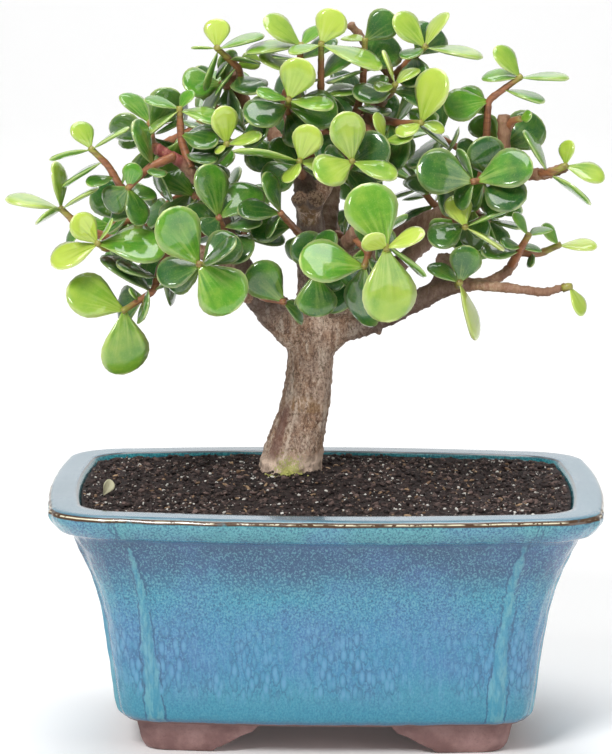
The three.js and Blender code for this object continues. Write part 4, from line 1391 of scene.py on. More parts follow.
@dataclass(frozen=True)
class GlazeFinish:
    """Runny blue-green glaze that breaks into cells, thin and brown on the lip, with bare clay beneath."""

    turquoise: Triple = (0.030, 0.235, 0.345)
    blue: Triple = (0.030, 0.20, 0.365)
    violet: Triple = (0.065, 0.155, 0.36)
    dusk: Triple = (0.026, 0.080, 0.180)
    green: Triple = (0.06, 0.26, 0.30)
    light: Triple = (0.12, 0.36, 0.41)
    feather: Triple = (0.11, 0.31, 0.49)
    deep: Triple = (0.014, 0.07, 0.155)
    rim: Triple = (0.14, 0.235, 0.31)
    rim_dark: Triple = (0.08, 0.19, 0.26)
    wall_dark: Triple = (0.012, 0.12, 0.17)
    wall_light: Triple = (0.05, 0.30, 0.33)
    brown: Triple = (0.075, 0.038, 0.018)
    # A painted highlight: the pale colour of the lip's reflection.
    painted_lip_highlight: Triple = (0.86, 0.80, 0.58)
    clay: Triple = (0.17, 0.09, 0.08)

    def material(self) -> Material:
        """Bands by height, a dense grain that runs downwards lower down, raised edges, and the lip.

        height is the share of the pot's height, run the distance in millimetres along the profile inwards
        from the outer edge of the rim, and away the distance from the nearest raised edge.

        Returns:
            The material.
        """
        paint = Paint("glaze_runny_blue", Coat_Roughness=0.05)
        height, run, away = (paint.value(name) for name in ("height", "run", "from_ridge"))
        clouds = paint.noise(0.045, 3, 0.55)
        tall = paint.noise(0.13, 3, 0.6, (1, 1, 0.3))
        grain = paint.noise(1.9, 3, 0.7, (1, 1, 0.8))
        streaks = paint.noise(0.75, 3, 0.6, (1, 1, 0.2))
        drops = paint.cells(0.62, (1, 1, 0.36)) + (grain - 0.5) * 0.35 + (streaks - 0.5) * 0.6
        # The ground colour, by height.
        paint.colour = paint.ramp(height + (tall - 0.5) * 0.14, {
            0.12: self.turquoise, 0.26: self.turquoise, 0.36: self.blue, 0.54: self.blue,
            0.66: self.turquoise, 0.78: self.dusk, 0.88: self.dusk, 0.93: self.green,
        })
        paint.coat(clouds.between(0.42, 0.68) * height.between(0.15, 0.4) * 0.5, self.violet)
        # Dark and light grain, denser higher up.
        upper = 0.42 + 0.58 * height.between(0.36, 0.66)
        paint.coat(grain.between(0.5, 0.38) * upper * 0.72, self.deep)
        paint.coat(grain.between(0.5, 0.62) * upper * 0.66, self.light)
        # Streaks, and drops with dark outlines, on the lower half.
        lower = height.between(0.66, 0.44) * height.between(0.2, 0.29)
        paint.coat(streaks.between(0.5, 0.36) * lower * 0.3, self.turquoise)
        paint.coat(streaks.between(0.5, 0.64) * lower * 0.35, self.feather)
        here = lower * tall.between(0.34, 0.56)
        paint.coat(drops.between(0.5, 0.1) * here * 0.7, self.feather)
        paint.coat(drops.between(0.44, 0.52) * drops.between(0.68, 0.58) * here * 0.42, self.deep)
        # The raised edges, with a broken dark line beside them.
        spare = 3.0 - height * 2.7 - (away + (paint.noise(0.26, 3, 0.65, (1, 1, 0.5)) - 0.5) * 4.2)
        line = spare.between(-0.8, -0.35) * spare.between(0.1, -0.3) * streaks.between(0.38, 0.52)
        paint.coat(line * 0.8, self.deep)
        ridge = paint.mix(streaks.between(0.4, 0.62), self.turquoise, self.light)
        paint.coat(spare.between(-0.2, 0.5) * height.between(0.91, 0.86) * 0.62, ridge)
        # Painted shade: a dark band in the groove under the lip, and another low on the body, where it
        # rounds in above the foot.
        groove = height.between(0.872, 0.886) * height.between(0.908, 0.896)
        paint.coat((groove + height.between(0.158, 0.14)) * 0.55, self.dusk)
        # The rim's flat, and the inner wall.
        flat = paint.mix(clouds.between(0.35, 0.65), self.rim, self.rim_dark)
        paint.coat(run.between(0.0, 0.7), paint.mix(grain.between(0.5, 0.7) * 0.3, flat, self.blue))
        wall = paint.mix(grain.between(0.4, 0.65), self.wall_dark, self.wall_light)
        paint.coat(run.between(7.4, 8.2), wall)
        # Thin brown glaze on both edges of the rim, and a broken painted highlight along the outer one:
        # pale colour that stands in for the lip's reflection.
        worn = paint.noise(0.12, 3, 0.6)
        edge = run + (clouds - 0.5) * 0.9
        thin = edge.between(-1.45, -1.05) * run.between(0.35, 0.0) * worn.between(0.22, 0.38)
        paint.coat(thin + run.between(6.9, 7.3) * run.between(8.0, 7.6) * 0.7, self.brown)
        painted_lip_highlight = run.between(-0.8, -0.68) * run.between(-0.3, -0.42) * worn.between(0.4, 0.52)
        paint.coat(painted_lip_highlight * paint.noise(0.6, 2, 0.5).between(0.4, 0.46) * 0.8, self.painted_lip_highlight)
        bare = (height + (paint.noise(0.2, 3, 0.6) - 0.5) * 0.012).between(0.139, 0.133)
        paint.coat(bare, self.clay)
        return paint.done(
            grain * 0.6 + drops * 0.4 + tall * 0.6 + streaks * 0.4, 0.3, 0.14,
            Roughness=0.14 + 0.14 * grain + 0.5 * bare,
            Coat_Weight=0.5 * (1 - bare),
        )


@dataclass(frozen=True)
class ClayFinish:
    """Bare fired clay, dull purple-brown, with fine grit."""

    body: Triple = (0.20, 0.105, 0.097)
    light: Triple = (0.34, 0.20, 0.185)
    dark: Triple = (0.09, 0.05, 0.05)

    def material(self) -> Material:
        """Two browns in soft clouds, with grit as bumps.

        Returns:
            The material.
        """
        paint = Paint("bare_clay", Roughness=0.78)
        grit = paint.noise(2.2, 4, 0.7)
        paint.colour = paint.mix(paint.noise(0.12, 4, 0.6).between(0.35, 0.7), self.body, self.light)
        paint.coat(grit.between(0.55, 0.72) * 0.5, self.dark)
        return paint.done(grit, 0.5, 0.15)


@dataclass(frozen=True)
class PeatFinish:
    """Damp dark potting mix."""

    dark: Triple = (0.006, 0.0045, 0.0045)
    light: Triple = (0.062, 0.035, 0.032)
    crumb_dark: Triple = (0.05, 0.03, 0.027)
    crumb_light: Triple = (0.33, 0.22, 0.19)
    fleck: Triple = (0.5, 0.44, 0.38)

    def material(self) -> Material:
        """Browns that vary by crumb, dull, with fine roughness.

        Returns:
            The material.
        """
        paint = Paint("potting_mix", Roughness=0.85)
        grain = paint.noise(1.2, 5, 0.75)
        paint.colour = paint.mix(grain.between(0.35, 0.75), self.dark, self.light)
        paint.coat(paint.value("tone") ** 3, paint.mix(grain, self.crumb_dark, self.crumb_light))
        fleck = paint.cells(0.75).between(0.2, 0.14) * paint.noise(0.3, 2, 0.5).between(0.5, 0.6)
        paint.coat(fleck * 0.8, self.fleck)
        return paint.done(grain, 0.8, 0.4)


@dataclass(frozen=True)
class GrainFinish:
    """Loose grains: white perlite, tan bark and grit, moss, or a shed leaf."""

    name: str
    first: Triple
    second: Triple

    def material(self) -> Material:
        """Two colours by grain, dull.

        Returns:
            The material.
        """
        paint = Paint(self.name, Roughness=0.7)
        speck = paint.noise(1.5, 3, 0.6)
        paint.colour = paint.mix(paint.value("tone") * 0.7 + speck * 0.3, self.first, self.second)
        return paint.done(speck, 0.4, 0.15)


@dataclass(frozen=True)
class BarkFinish:
    """Thin bark: grey-brown and freckled on the trunk, red-brown on young limbs, mossy at the soil."""

    grey: Triple = (0.50, 0.35, 0.26)
    brown: Triple = (0.42, 0.25, 0.155)
    pale: Triple = (0.80, 0.66, 0.53)
    dark: Triple = (0.115, 0.055, 0.035)
    foot: Triple = (0.80, 0.61, 0.48)
    foot_streak: Triple = (0.13, 0.075, 0.05)
    young: Triple = (0.23, 0.095, 0.05)
    young_light: Triple = (0.36, 0.20, 0.11)
    rust: Triple = (0.36, 0.21, 0.10)
    # Painted shade for the limbs away from the trunk.
    painted_limb_shade: Triple = (0.085, 0.054, 0.045)
    stripe: Triple = (0.20, 0.085, 0.062)
    blush: Triple = (0.24, 0.03, 0.035)
    blush_light: Triple = (0.46, 0.14, 0.12)
    wound: Triple = (0.44, 0.29, 0.19)
    moss: Triple = (0.42, 0.42, 0.12)
    moss_light: Triple = (0.60, 0.56, 0.24)

    def material(self) -> Material:
        """Streaks along the trunk, freckles, rings at old leaf scars, colours by age and height, and a
        painted shade that darkens the limbs away from the trunk.

        Returns:
            The material.
        """
        paint = Paint("thin_bark", Coat_Weight=0.05, Coat_Roughness=0.4)
        streaks = paint.noise(0.5, 4, 0.65, (1, 1, 0.2), 0.4)
        clouds = paint.noise(0.14, 4, 0.6)
        freckles = paint.cells(1.9, (1, 1, 0.5))
        fine = paint.noise(1.35, 4, 0.85, (1, 1, 0.6))
        rings = paint.noise(0.5, 3, 0.6, (0.25, 0.25, 1.6))
        uneven = fine - 0.5
        paint.colour = paint.mix(clouds.between(0.38, 0.62), self.grey, self.brown)
        for share, tint in (
            (streaks.between(0.48, 0.66) * 0.8, self.pale),
            (streaks.between(0.46, 0.32) * 0.7, self.dark),
            (rings.between(0.56, 0.68) * 0.3, self.dark),
            (freckles.between(0.34, 0.12) * 0.5, self.pale),
            (fine.between(0.51, 0.58) * 0.85, self.dark),
            (fine.between(0.44, 0.36) * 0.72, self.pale),
            # Painted shade: the limbs darken away from the trunk.
            (paint.value("limb") * 0.8, self.painted_limb_shade),
        ):
            paint.coat(share, tint)
        # The trunk's ring scar and its stripe.
        scar = paint.value("scar")
        ring = paint.mix(streaks.between(0.46, 0.56), self.rust, self.foot)
        paint.coat((scar + uneven * 1.2).between(0.25, 0.65) * 0.85, ring)
        paint.coat(scar.between(0.35, 0.7) * fine.between(0.54, 0.6) * 0.8, self.dark)
        stripe = paint.value("stripe") + uneven * 0.8
        paint.coat(stripe.between(0.3, 0.9) * 0.75, self.stripe)
        paint.coat(stripe.between(-0.3, -0.9) * 0.6, self.pale)
        # Young wood, the pink piece, and the ends of cut stubs.
        for name, share, first, second in (
            ("young", streaks.between(0.3, 0.7), self.young, self.young_light),
            ("blush", streaks.between(0.42, 0.62), self.blush, self.blush_light),
            ("cut", fine.between(0.45, 0.57), self.wound, self.dark),
        ):
            paint.coat(paint.value(name), paint.mix(share, first, second))
        # The pale foot, with its streaks and its moss.
        foot = paint.value("base")
        base = foot + (clouds - 0.5) * 1.4 + uneven * 0.8
        paint.coat(base.between(0.3, 0.8) * 0.85, self.foot)
        paint.coat(streaks.between(0.46, 0.6) * foot * 0.6, self.foot_streak)
        mossy = paint.value("moss") + uneven * 4
        tuft = paint.mix(freckles.between(0.1, 0.4), self.moss_light, self.moss)
        paint.coat(mossy.between(0.62, 0.7) * 0.9, tuft)
        height = streaks * 0.8 + fine * 0.7 + freckles * 0.3 + rings * 0.4
        return paint.done(height, 0.75, 0.4, Roughness=0.5 + 0.25 * fine)


@dataclass(frozen=True)
class LeafFinish:
    """Waxy succulent leaf, dark when old and yellow-green when young, with a paler edge."""

    old: Triple = (0.013, 0.090, 0.012)
    middle: Triple = (0.080, 0.29, 0.010)
    young: Triple = (0.46, 0.59, 0.070)
    under: Triple = (0.20, 0.38, 0.07)
    edge: Triple = (0.58, 0.66, 0.20)
    margin: Triple = (0.74, 0.80, 0.36)
    foot: Triple = (0.38, 0.50, 0.08)

    def material(self) -> Material:
        """Greens by the leaf's tone, soft mottling, rays from the root, a pale edge and underside.

        Returns:
            The material.
        """
        paint = Paint(
            "waxy_leaf", Specular_IOR_Level=0.25, Coat_Weight=1.0, Coat_IOR=1.58, Coat_Roughness=0.07,
            Subsurface_Weight=0.22, Subsurface_Radius=(0.3, 0.6, 0.1), Subsurface_Scale=0.0012,
        )
        fresh, along = paint.value("fresh"), paint.value("along")
        mottle = paint.noise(0.35, 4, 0.6)
        speck = paint.noise(2.4, 2, 0.5)
        patch = fresh + (paint.noise(0.13, 2, 0.5) - 0.5) * 0.5
        ray = paint.value("across") * (along + 0.16) ** -1
        fan = paint.node("ShaderNodeCombineXYZ", {}, {"X": ray * 3.6, "Y": fresh * 60, "Z": along * 0.7})
        streaks = paint.node("ShaderNodeTexNoise", {}, {"Vector": fan, "Scale": 1.0, "Detail": 2.0})
        near = along.between(0.95, 0.1)
        paint.colour = paint.mix(patch.between(0.0, 0.46), self.old, self.middle)
        for share, tint in (
            (patch.between(0.4, 0.95), self.young),
            (mottle.between(0.4, 0.68) * (0.06 + 0.26 * fresh), self.young),
            (paint.value("under") * 0.3, self.under),
            (streaks.between(0.48, 0.66) * near * (0.15 + 0.4 * fresh), self.edge),
            (streaks.between(0.48, 0.3) * near * 0.4, self.old),
            (along.between(0.3, 0.0) * 0.4, self.foot),
            (paint.value("rim") ** 5 * (0.4 + 0.55 * fresh), self.margin),
            (speck.between(0.55, 0.7) * 0.1, self.edge),
        ):
            paint.coat(share, tint)
        height = mottle * 0.6 + speck * 0.2 + paint.noise(0.9, 2, 0.5) * 0.4 + streaks * near * 0.9
        return paint.done(height, 0.24, 0.24, Roughness=0.34 + 0.14 * mottle)


@dataclass(frozen=True)
class StemFinish:
    """Young stem: green-red near its leaves, red-brown and ringed lower down."""

    green: Triple = (0.30, 0.28, 0.05)
    red: Triple = (0.34, 0.135, 0.06)
    ring: Triple = (0.13, 0.05, 0.03)

    def material(self) -> Material:
        """Red-brown to green along the stem.

        Returns:
            The material.
        """
        paint = Paint("young_stem", Roughness=0.42, Coat_Weight=0.15)
        streaks = paint.noise(0.9, 3, 0.6)
        share = paint.value("fresh") + (streaks - 0.5) * 0.5
        paint.colour = paint.mix(share.between(0.55, 1.0), self.red, self.green)
        paint.coat(paint.noise(0.8, 2, 0.5, (0.4, 0.4, 1.5)).between(0.5, 0.62) * 0.5, self.ring)
        return paint.done(streaks, 0.35, 0.2)


def made_by(finish: Any) -> Any:
    """A dataclass field that holds a finish's material, made when the field is filled."""
    return field(default_factory=finish.material)


@dataclass(frozen=True)
class Finishes:
    """Every material, made once."""

    glaze: Material = made_by(GlazeFinish())
    clay: Material = made_by(ClayFinish())
    peat: Material = made_by(PeatFinish())
    perlite: Material = made_by(GrainFinish("white_perlite", (0.75, 0.73, 0.68), (0.5, 0.47, 0.42)))
    chips: Material = made_by(GrainFinish("tan_chips", (0.13, 0.07, 0.04), (0.46, 0.30, 0.17)))
    moss: Material = made_by(GrainFinish("moss", (0.30, 0.32, 0.06), (0.58, 0.56, 0.20)))
    shed: Material = made_by(GrainFinish("shed_leaf", (0.40, 0.40, 0.24), (0.62, 0.58, 0.40)))
    bark: Material = made_by(BarkFinish())
    leaf: Material = made_by(LeafFinish())
    stem: Material = made_by(StemFinish())


def settle(piece: Object, slot: Slot, *nodes: str) -> None:
    """Let a piece ride on the root body and stand for its nodes.

    Args:
        piece: The finished piece.
        slot: Its material slot; not used.
        nodes: The nodes that it stands for, if any.
    """
    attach(piece, "root")
    if nodes:
        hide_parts(*nodes)
    LOG.info("%s: %d faces", piece.name, len(piece.data.polygons))


def worked(piece: Object) -> None:
    """Make a piece's modifiers part of its mesh.

    Args:
        piece: The piece.
    """
    graph = bpy.context.evaluated_depsgraph_get()
    mesh = bpy.data.meshes.new_from_object(piece.evaluated_get(graph), depsgraph=graph)
    piece.modifiers.clear()
    piece.data = mesh


def cut_away(piece: Object, cutters: list[Object]) -> None:
    """Take cutters out of a piece and remove them.

    Args:
        piece: The piece that is cut.
        cutters: What is taken out of it.
    """
    for cutter in cutters:
        cut = piece.modifiers.new("cut", "BOOLEAN")
        cut.operation = "DIFFERENCE"
        cut.solver = "EXACT"
        cut.object = cutter
    worked(piece)
    for cutter in cutters:
        bpy.data.objects.remove(cutter)


def skinned(piece: Object, voxel: float, rounds: int) -> None:
    """Give a piece one even skin of voxels, and smooth it by some rounds.

    Args:
        piece: The piece.
        voxel: The voxels' size, in the mesh's own unit.
        rounds: How many times it is smoothed.
    """
    skin = piece.modifiers.new("skin", "REMESH")
    skin.mode = "VOXEL"
    skin.voxel_size = voxel
    settled = piece.modifiers.new("settle", "SMOOTH")
    settled.factor = 0.5
    settled.iterations = rounds
    worked(piece)


def wear(piece: Object, material: Material) -> None:
    """Give a piece one material in place of any other."""
    piece.data.materials.clear()
    piece.data.materials.append(material)


def outward(piece: Object) -> Object:
    """Turn every face of a closed piece outwards.

    Args:
        piece: The piece.

    Returns:
        The same piece.
    """
    work = bmesh.new()
    work.from_mesh(piece.data)
    bmesh.ops.recalc_face_normals(work, faces=work.faces)
    work.to_mesh(piece.data)
    work.free()
    return piece


def roughen(piece: Object, height_of: Callable[[Array], Array]) -> Array:
    """Move each vertex along its normal.

    Args:
        piece: The piece, in metres.
        height_of: A function from rows of places in millimetres to heights in millimetres.

    Returns:
        The new places, in millimetres.
    """
    mesh = piece.data
    places = vertices_of(mesh) / MILLIMETRE
    normals = np.empty(len(mesh.vertices) * 3)
    mesh.vertex_normals.foreach_get("vector", normals)
    places = places + normals.reshape(-1, 3) * height_of(places)[:, None]
    move_vertices(mesh, places * MILLIMETRE)
    mesh.shade_smooth()
    return places


def smooth_rows(controls: Array, rows: int) -> Array:
    """Sample a Catmull-Rom curve through control rows, evenly by length.

    Args:
        controls: Rows whose first two columns are inset and height.
        rows: How many samples to take.

    Returns:
        The samples. Between p1 and p2 the curve is half of 2 p1 + (p2 - p0) t
        + (2 p0 - 5 p1 + 4 p2 - p3) t^2 + (3 p1 - p0 - 3 p2 + p3) t^3.
    """
    samples = 24
    padded = np.concatenate([controls[:1], controls, controls[-1:]])
    t = np.linspace(0, 1, samples, endpoint=False)[:, None]
    pieces = []
    for p0, p1, p2, p3 in zip(padded[:-3], padded[1:-2], padded[2:-1], padded[3:]):
        squared, cubed = 2 * p0 - 5 * p1 + 4 * p2 - p3, 3 * p1 - p0 - 3 * p2 + p3
        pieces.append(0.5 * (2 * p1 + (p2 - p0) * t + squared * t**2 + cubed * t**3))
    curve = np.concatenate([*pieces, controls[-1:]])
    lengths = lengths_along(curve[:, :2])
    at = np.linspace(0, lengths[-1], rows)
    return np.stack([np.interp(at, lengths, column) for column in curve.T], axis=1)


@dataclass
class Part:
    """A sub-assembly: where the pot's middle is in the frame, in metres, and the finishes."""

    offset: Array
    finishes: Finishes


@dataclass
class Pot(Part):
    """The pot: a flared glazed body with raised corner edges, on a bracket foot of bare clay."""

    around: int = 300
    outer_rows: int = 96
    rim_rows: int = 6
    inner_rows: int = 34
    lip_height: float = 69.5
    rim_middle: Triple = (4.6, 70.02, 0)
    under: tuple[Triple, ...] = ((40, 8.7, 0), (30, 8.6, 0))
    floor_insets: tuple[float, float] = (30, 40)
    relief: float = 0.22
    relief_size: float = 9
    ridge_seen: float = 15
    hole_height: float = 11.5
    hole_depth: float = 12
    hole_corners: int = 48
    foot_voxel: float = 0.62
    foot_grit: float = 0.09
    foot_rings: Pairs = ((26.8, 0), (26.1, 0.35), (25, 2.2), (23.2, 10.4))
    hollow_rings: Pairs = ((38, -1), (36.2, 8.2))
    long_gap: Pairs = ((30.5, -1), (30.5, 0), (29.4, 1.2), (26, 2.8), (22.6, 5), (19.5, 6.2), (18, 8.4))
    short_gap: Pairs = ((15, -1), (15, 0), (14, 1.2), (11.4, 2.8), (9.4, 5), (8.3, 6.2), (7.6, 8.4))

    def shares(self) -> Array:
        """Places round the plan, closer together at the corners and at the raised edges.

        Returns:
            The places, from 0 to 12, in order.
        """
        even = np.linspace(0, 1, self.around // 12, endpoint=False)
        side = np.concatenate([even * 0.9, [0.91, 0.925, 0.94, 0.952, 0.964, 0.976, 0.988]])
        close = np.arange(6) * 0.025
        corner = 1 + np.concatenate([close, 0.15 + even * 0.7, 0.85 + close])
        end = 2 + np.concatenate([np.arange(8) * 0.018, 0.15 + even * 0.85])
        quarter = np.concatenate([side, corner, end])
        half = np.concatenate([quarter, (6 - quarter[::-1])[:-1]])
        return np.unique(np.round(np.concatenate([half, half + 6]), 6))

    def loft(self, rings: Array, relief: float = 0.0) -> Surface:
        """Carry the pot's plan up through rings of inset, height and raised edge.

        Args:
            rings: Rows of inset, height, raised edge, and the distance inwards along the profile.
            relief: How far the glaze swells and sags.

        Returns:
            The closed solid, with values for its glaze.
        """
        share = self.shares()[None, :]
        inset, height, ridge, run = (column[:, None] for column in rings.T)
        x, y = PLAN.ring(share, inset, ridge)
        z = height + 0 * x
        if relief:
            places = np.stack([x, y, z * 0.35], axis=-1).reshape(-1, 3)
            swell = ripple(places, self.relief_size, 5).reshape(x.shape) * relief * (run < 0)
            x, y = PLAN.ring(share, inset - swell, ridge)
        edges = np.array([[quarter * 3 + k for quarter in range(4) for k in (1.0, 2.0)]])
        edge_x, edge_y = PLAN.ring(edges, inset, ridge)
        away = np.hypot(x[:, :, None] - edge_x[:, None, :], y[:, :, None] - edge_y[:, None, :]).min(axis=2)
        values = {
            "height": np.broadcast_to(height / PLAN.height, x.shape),
            "run": np.broadcast_to(run, x.shape),
            "from_ridge": np.minimum(away, self.ridge_seen),
        }
        return Surface.grid(np.stack([x, y, z], axis=-1), **values).capped(share.shape[1])

    def body(self) -> None:
        """The glazed body, from the drain holes in its floor to its rim."""
        outer = smooth_rows(np.array(PLAN.outer), self.outer_rows)
        flat = np.array([(*PLAN.outer[-1][:2], 0), self.rim_middle, (*PLAN.inner[0], 0)])
        top = smooth_rows(flat, self.rim_rows)[1:-1]
        inner = smooth_rows(np.array([(*row, 0.0) for row in PLAN.inner]), self.inner_rows)
        floor = np.array([(inset, PLAN.floor_height, 0) for inset in self.floor_insets])
        rings = np.concatenate([np.array(self.under), outer, top, inner, floor])
        run = lengths_along(rings[:, :2])
        outside = slice(len(self.under) + len(outer))
        edge = np.interp(self.lip_height, rings[outside, 1], run[outside])
        made = self.loft(np.column_stack([rings, run - edge]), self.relief)
        piece = made.to_object("pot_body", self.offset, [self.finishes.glaze])
        holes = []
        for hand in (-1, 1):
            middle = Vector((hand * PLAN.drain_spacing / 2, 0, self.hole_height)) * MILLIMETRE
            bpy.ops.mesh.primitive_cylinder_add(
                vertices=self.hole_corners, radius=PLAN.drain_radius * MILLIMETRE,
                depth=self.hole_depth * MILLIMETRE, location=middle + Vector(self.offset),
            )
            holes.append(bpy.context.object)
        cut_away(piece, holes)
        settle(piece, Slot.GLAZE, "pot")

    def prism(self, profile: Pairs, along_y: bool) -> Object:
        """A cutter: a gap's outline and its mirror image, drawn out along one axis.

        Args:
            profile: The right half of the outline, upwards.
            along_y: Whether it runs from front to back, rather than from side to side.

        Returns:
            The cutter.
        """
        right = np.array(profile)
        aside, up = np.concatenate([right, right[::-1] * [-1, 1]]).T
        ends = []
        for reach in (-90.0, 90.0):
            far = np.full(len(up), reach)
            ends.append(np.stack([aside, far, up] if along_y else [far, aside, up], axis=1))
        made = Surface.grid(np.stack(ends)).capped(len(up))
        return outward(made.to_object("gap_cutter", self.offset, []))

    def feet(self) -> None:
        """The bracket foot: a ring of clay cut through under each side, its edges softened."""
        ring, hollow = (
            self.loft(np.array([(inset, height, 0.0, 0.0) for inset, height in rings]))
            for rings in (self.foot_rings, self.hollow_rings)
        )
        piece = ring.to_object("pot_feet", self.offset, [self.finishes.clay])
        inside = outward(hollow.to_object("hollow_cutter", self.offset, []))
        cut_away(piece, [inside, self.prism(self.long_gap, True), self.prism(self.short_gap, False)])
        skinned(piece, self.foot_voxel * MILLIMETRE, 3)

        def grit(places: Array) -> Array:
            """Grit on all but the soles."""
            return self.foot_grit * ripple(places, 4, 11) * (places[:, 2] > 0.6)

        roughen(piece, grit)
        wear(piece, self.finishes.clay)
        settle(piece, Slot.GLAZE, "pot")


@dataclass
class Soil(Part):
    """The potting mix: a bed that fills the pot, crumbs, perlite and bark chips on it, and a dried leaf."""

    around: int = 260
    rows: int = 96
    crumbs: int = 7800
    perlite: int = 1000
    chips: int = 420
    moss_lumps: int = 170
    moss_at: Triple = (288, 471, 2.6)
    shed_at: Triple = (103, 488, -18)
    hole_radius: float = 8.3
    hole_heights: Triple = (43.2, 56, 64)
    wall_heights: Triple = (62, 48, 28)
    floor_gap: float = 0.4
    wall_gap: float = 0.05
    clear_of_wall: float = 9.2

    def bed(self) -> None:
        """The bed: up the hole for the trunk, out over the top, down the pot's wall, and in."""
        share = np.linspace(0, 12, self.around, endpoint=False)
        gap = PLAN.seat_gap + self.wall_gap
        spot = np.array(GROUND.trunk_spot)

        def wall(height: float) -> Array:
            """The wall's plan at a height, inside the pot's inner wall by the seat gap."""
            inset = PLAN.inner_inset(np.array(height)) + gap
            return np.stack(PLAN.ring(share, inset, 0 * share), axis=1)

        def level(plan: Array, height: float) -> Array:
            """A plan's places at one height."""
            return np.column_stack([plan, np.full(len(share), height)])

        rim = wall(PLAN.soil_level)
        hole = spot + unit(rim - spot) * self.hole_radius
        out = np.linspace(0, 1, self.rows)
        flat = (hole + (rim - hole) * out[:, None, None]).reshape(-1, 2)
        height = GROUND.height(flat[:, 0], flat[:, 1])
        solid = np.column_stack([flat, height])
        fringe = np.repeat(clamped(1 - out**30), len(share))
        rough = 0.42 * ripple(solid, 5.5, 3, 4) + 0.22 * ripple(solid, 1.9, 4, 3) - 0.25
        height = height + rough * fringe
        top = np.column_stack([flat, height]).reshape(self.rows, len(share), 3)
        down = [level(hole, z) for z in self.hole_heights]
        sides = [level(wall(z), z) for z in (*self.wall_heights, PLAN.floor_height + self.floor_gap)]
        grid = np.concatenate([np.stack(down), top, np.stack(sides)])
        tone = clamped(0.5 + 0.4 * ripple(grid.reshape(-1, 3), 7, 8)) * 0.5
        made = Surface.grid(grid, tone=tone.reshape(grid.shape[:2])).capped(len(share))
        settle(outward(made.to_object("soil_bed", self.offset, [self.finishes.peat])), Slot.PEAT, "soil")

    @staticmethod
    def icosahedron() -> tuple[Array, Array]:
        """The twelve corners of an icosahedron, and its faces, each facing outwards.

        Returns:
            The corners, a row each, and the faces, as rows of three corners' numbers.
        """
        golden = (1 + math.sqrt(5)) / 2
        corners = [(0, a, b * golden) for a in (-1, 1) for b in (-1, 1)]
        corners = corners + [(c, a, b) for a, b, c in corners] + [(b, c, a) for a, b, c in corners]
        corners = unit(np.array(corners))
        reach = np.linalg.norm(corners[:, None] - corners[None], axis=2)
        near = (reach < 1.1) & (reach > 0.1)
        i, j, k = np.nonzero(near[:, :, None] & near[None, :, :] & near[:, None, :])
        faces = np.stack([i, j, k], axis=1)[(i < j) & (j < k)]
        first, second, third = (corners[faces[:, column]] for column in range(3))
        sense = np.einsum("ij,ij->i", np.cross(first, second), third)
        faces[sense < 0] = faces[sense < 0][:, ::-1]
        return corners, faces

    def lumps(self, draw: np.random.Generator, ground: Array, size: Array, long: float) -> Surface:
        """Small rough lumps.

        Each lump is an icosahedron whose twelve corners are moved a little, stretched along a turned axis.

        Args:
            draw: The seeded draw.
            ground: The lumps' middles, a row each.
            size: Their radii.
            long: How much longer than wide they are.

        Returns:
            The lumps in one surface.
        """
        corners, faces = self.icosahedron()
        count = len(size)
        shapes = corners[None] * (1 + draw.uniform(-0.3, 0.3, (count, 12, 1)))
        x, y, z = np.moveaxis(shapes, -1, 0)
        x = x * long
        z = z * draw.uniform(0.6, 0.9, (count, 1))
        turn, lean = draw.uniform(0, FULL_TURN, count)[:, None], draw.normal(0, 0.35, count)[:, None]
        x, z = x * np.cos(lean) - z * np.sin(lean), x * np.sin(lean) + z * np.cos(lean)
        x, y = x * np.cos(turn) - y * np.sin(turn), x * np.sin(turn) + y * np.cos(turn)
        places = np.stack([x, y, z], axis=-1) * size[:, None, None] + ground[:, None]
        every = (faces[None] + 12 * np.arange(count)[:, None, None]).reshape(-1, 3)
        tone = np.repeat(draw.uniform(0, 1, count) ** 1.5, 12)
        return Surface(places.reshape(-1, 3), every, {"tone": tone})

    def scattered(
        self, draw: np.random.Generator, count: int, sizes: tuple[float, float], long: float
    ) -> Surface:
        """Lay lumps on the bed, at places drawn evenly over the plan inside the pot's wall.

        Args:
            draw: The seeded draw.
            count: How many to lay.
            sizes: The least and the greatest radius.
            long: How much longer than wide they are.

        Returns:
            The lumps in one surface.
        """
        share, out = draw.uniform(0, 12, count), np.sqrt(draw.uniform(0, 1, count))
        size = sizes[0] + (sizes[1] - sizes[0]) * draw.uniform(0, 1, count) ** 3
        x, y = PLAN.ring(share, self.clear_of_wall + size * 1.2, 0 * share)
        x, y = x * out, y * out
        free = GROUND.from_trunk(x, y) > GROUND.root_radius
        x, y, size = x[free], y[free], size[free]
        z = GROUND.height(x, y) + size * draw.uniform(-0.1, 0.35, len(x))
        return self.lumps(draw, np.stack([x, y, z], axis=1), size, long)

    def moss(self) -> None:
        """A tuft of moss where the trunk's front meets the soil."""
        draw = np.random.default_rng(17)
        middle = DRAWING.spot(*self.moss_at)
        size = draw.uniform(0.16, 0.42, self.moss_lumps)
        x = middle[0] + draw.normal(0, 2.3, self.moss_lumps)
        y = middle[1] + draw.normal(0, 1.0, self.moss_lumps)
        z = GROUND.height(x, y) + 0.5 * bell(x - middle[0], 2)
        made = self.lumps(draw, np.stack([x, y, z], axis=1), size, 1.2)
        settle(made.to_object("moss_tuft", self.offset, [self.finishes.moss]), Slot.FOLIAGE)

    def loose(self) -> None:
        """Lay the crumbs, the perlite and the chips."""
        draw = np.random.default_rng(41)
        for name, count, sizes, long, material in (
            ("soil_crumbs", self.crumbs, (0.22, 0.85), 1.35, self.finishes.peat),
            ("perlite", self.perlite, (0.13, 0.55), 1.1, self.finishes.perlite),
            ("bark_chips", self.chips, (0.2, 0.62), 2.2, self.finishes.chips),
        ):
            piece = self.scattered(draw, count, sizes, long).to_object(name, self.offset, [material])
            piece.data.shade_flat()
            settle(piece, Slot.PEAT)

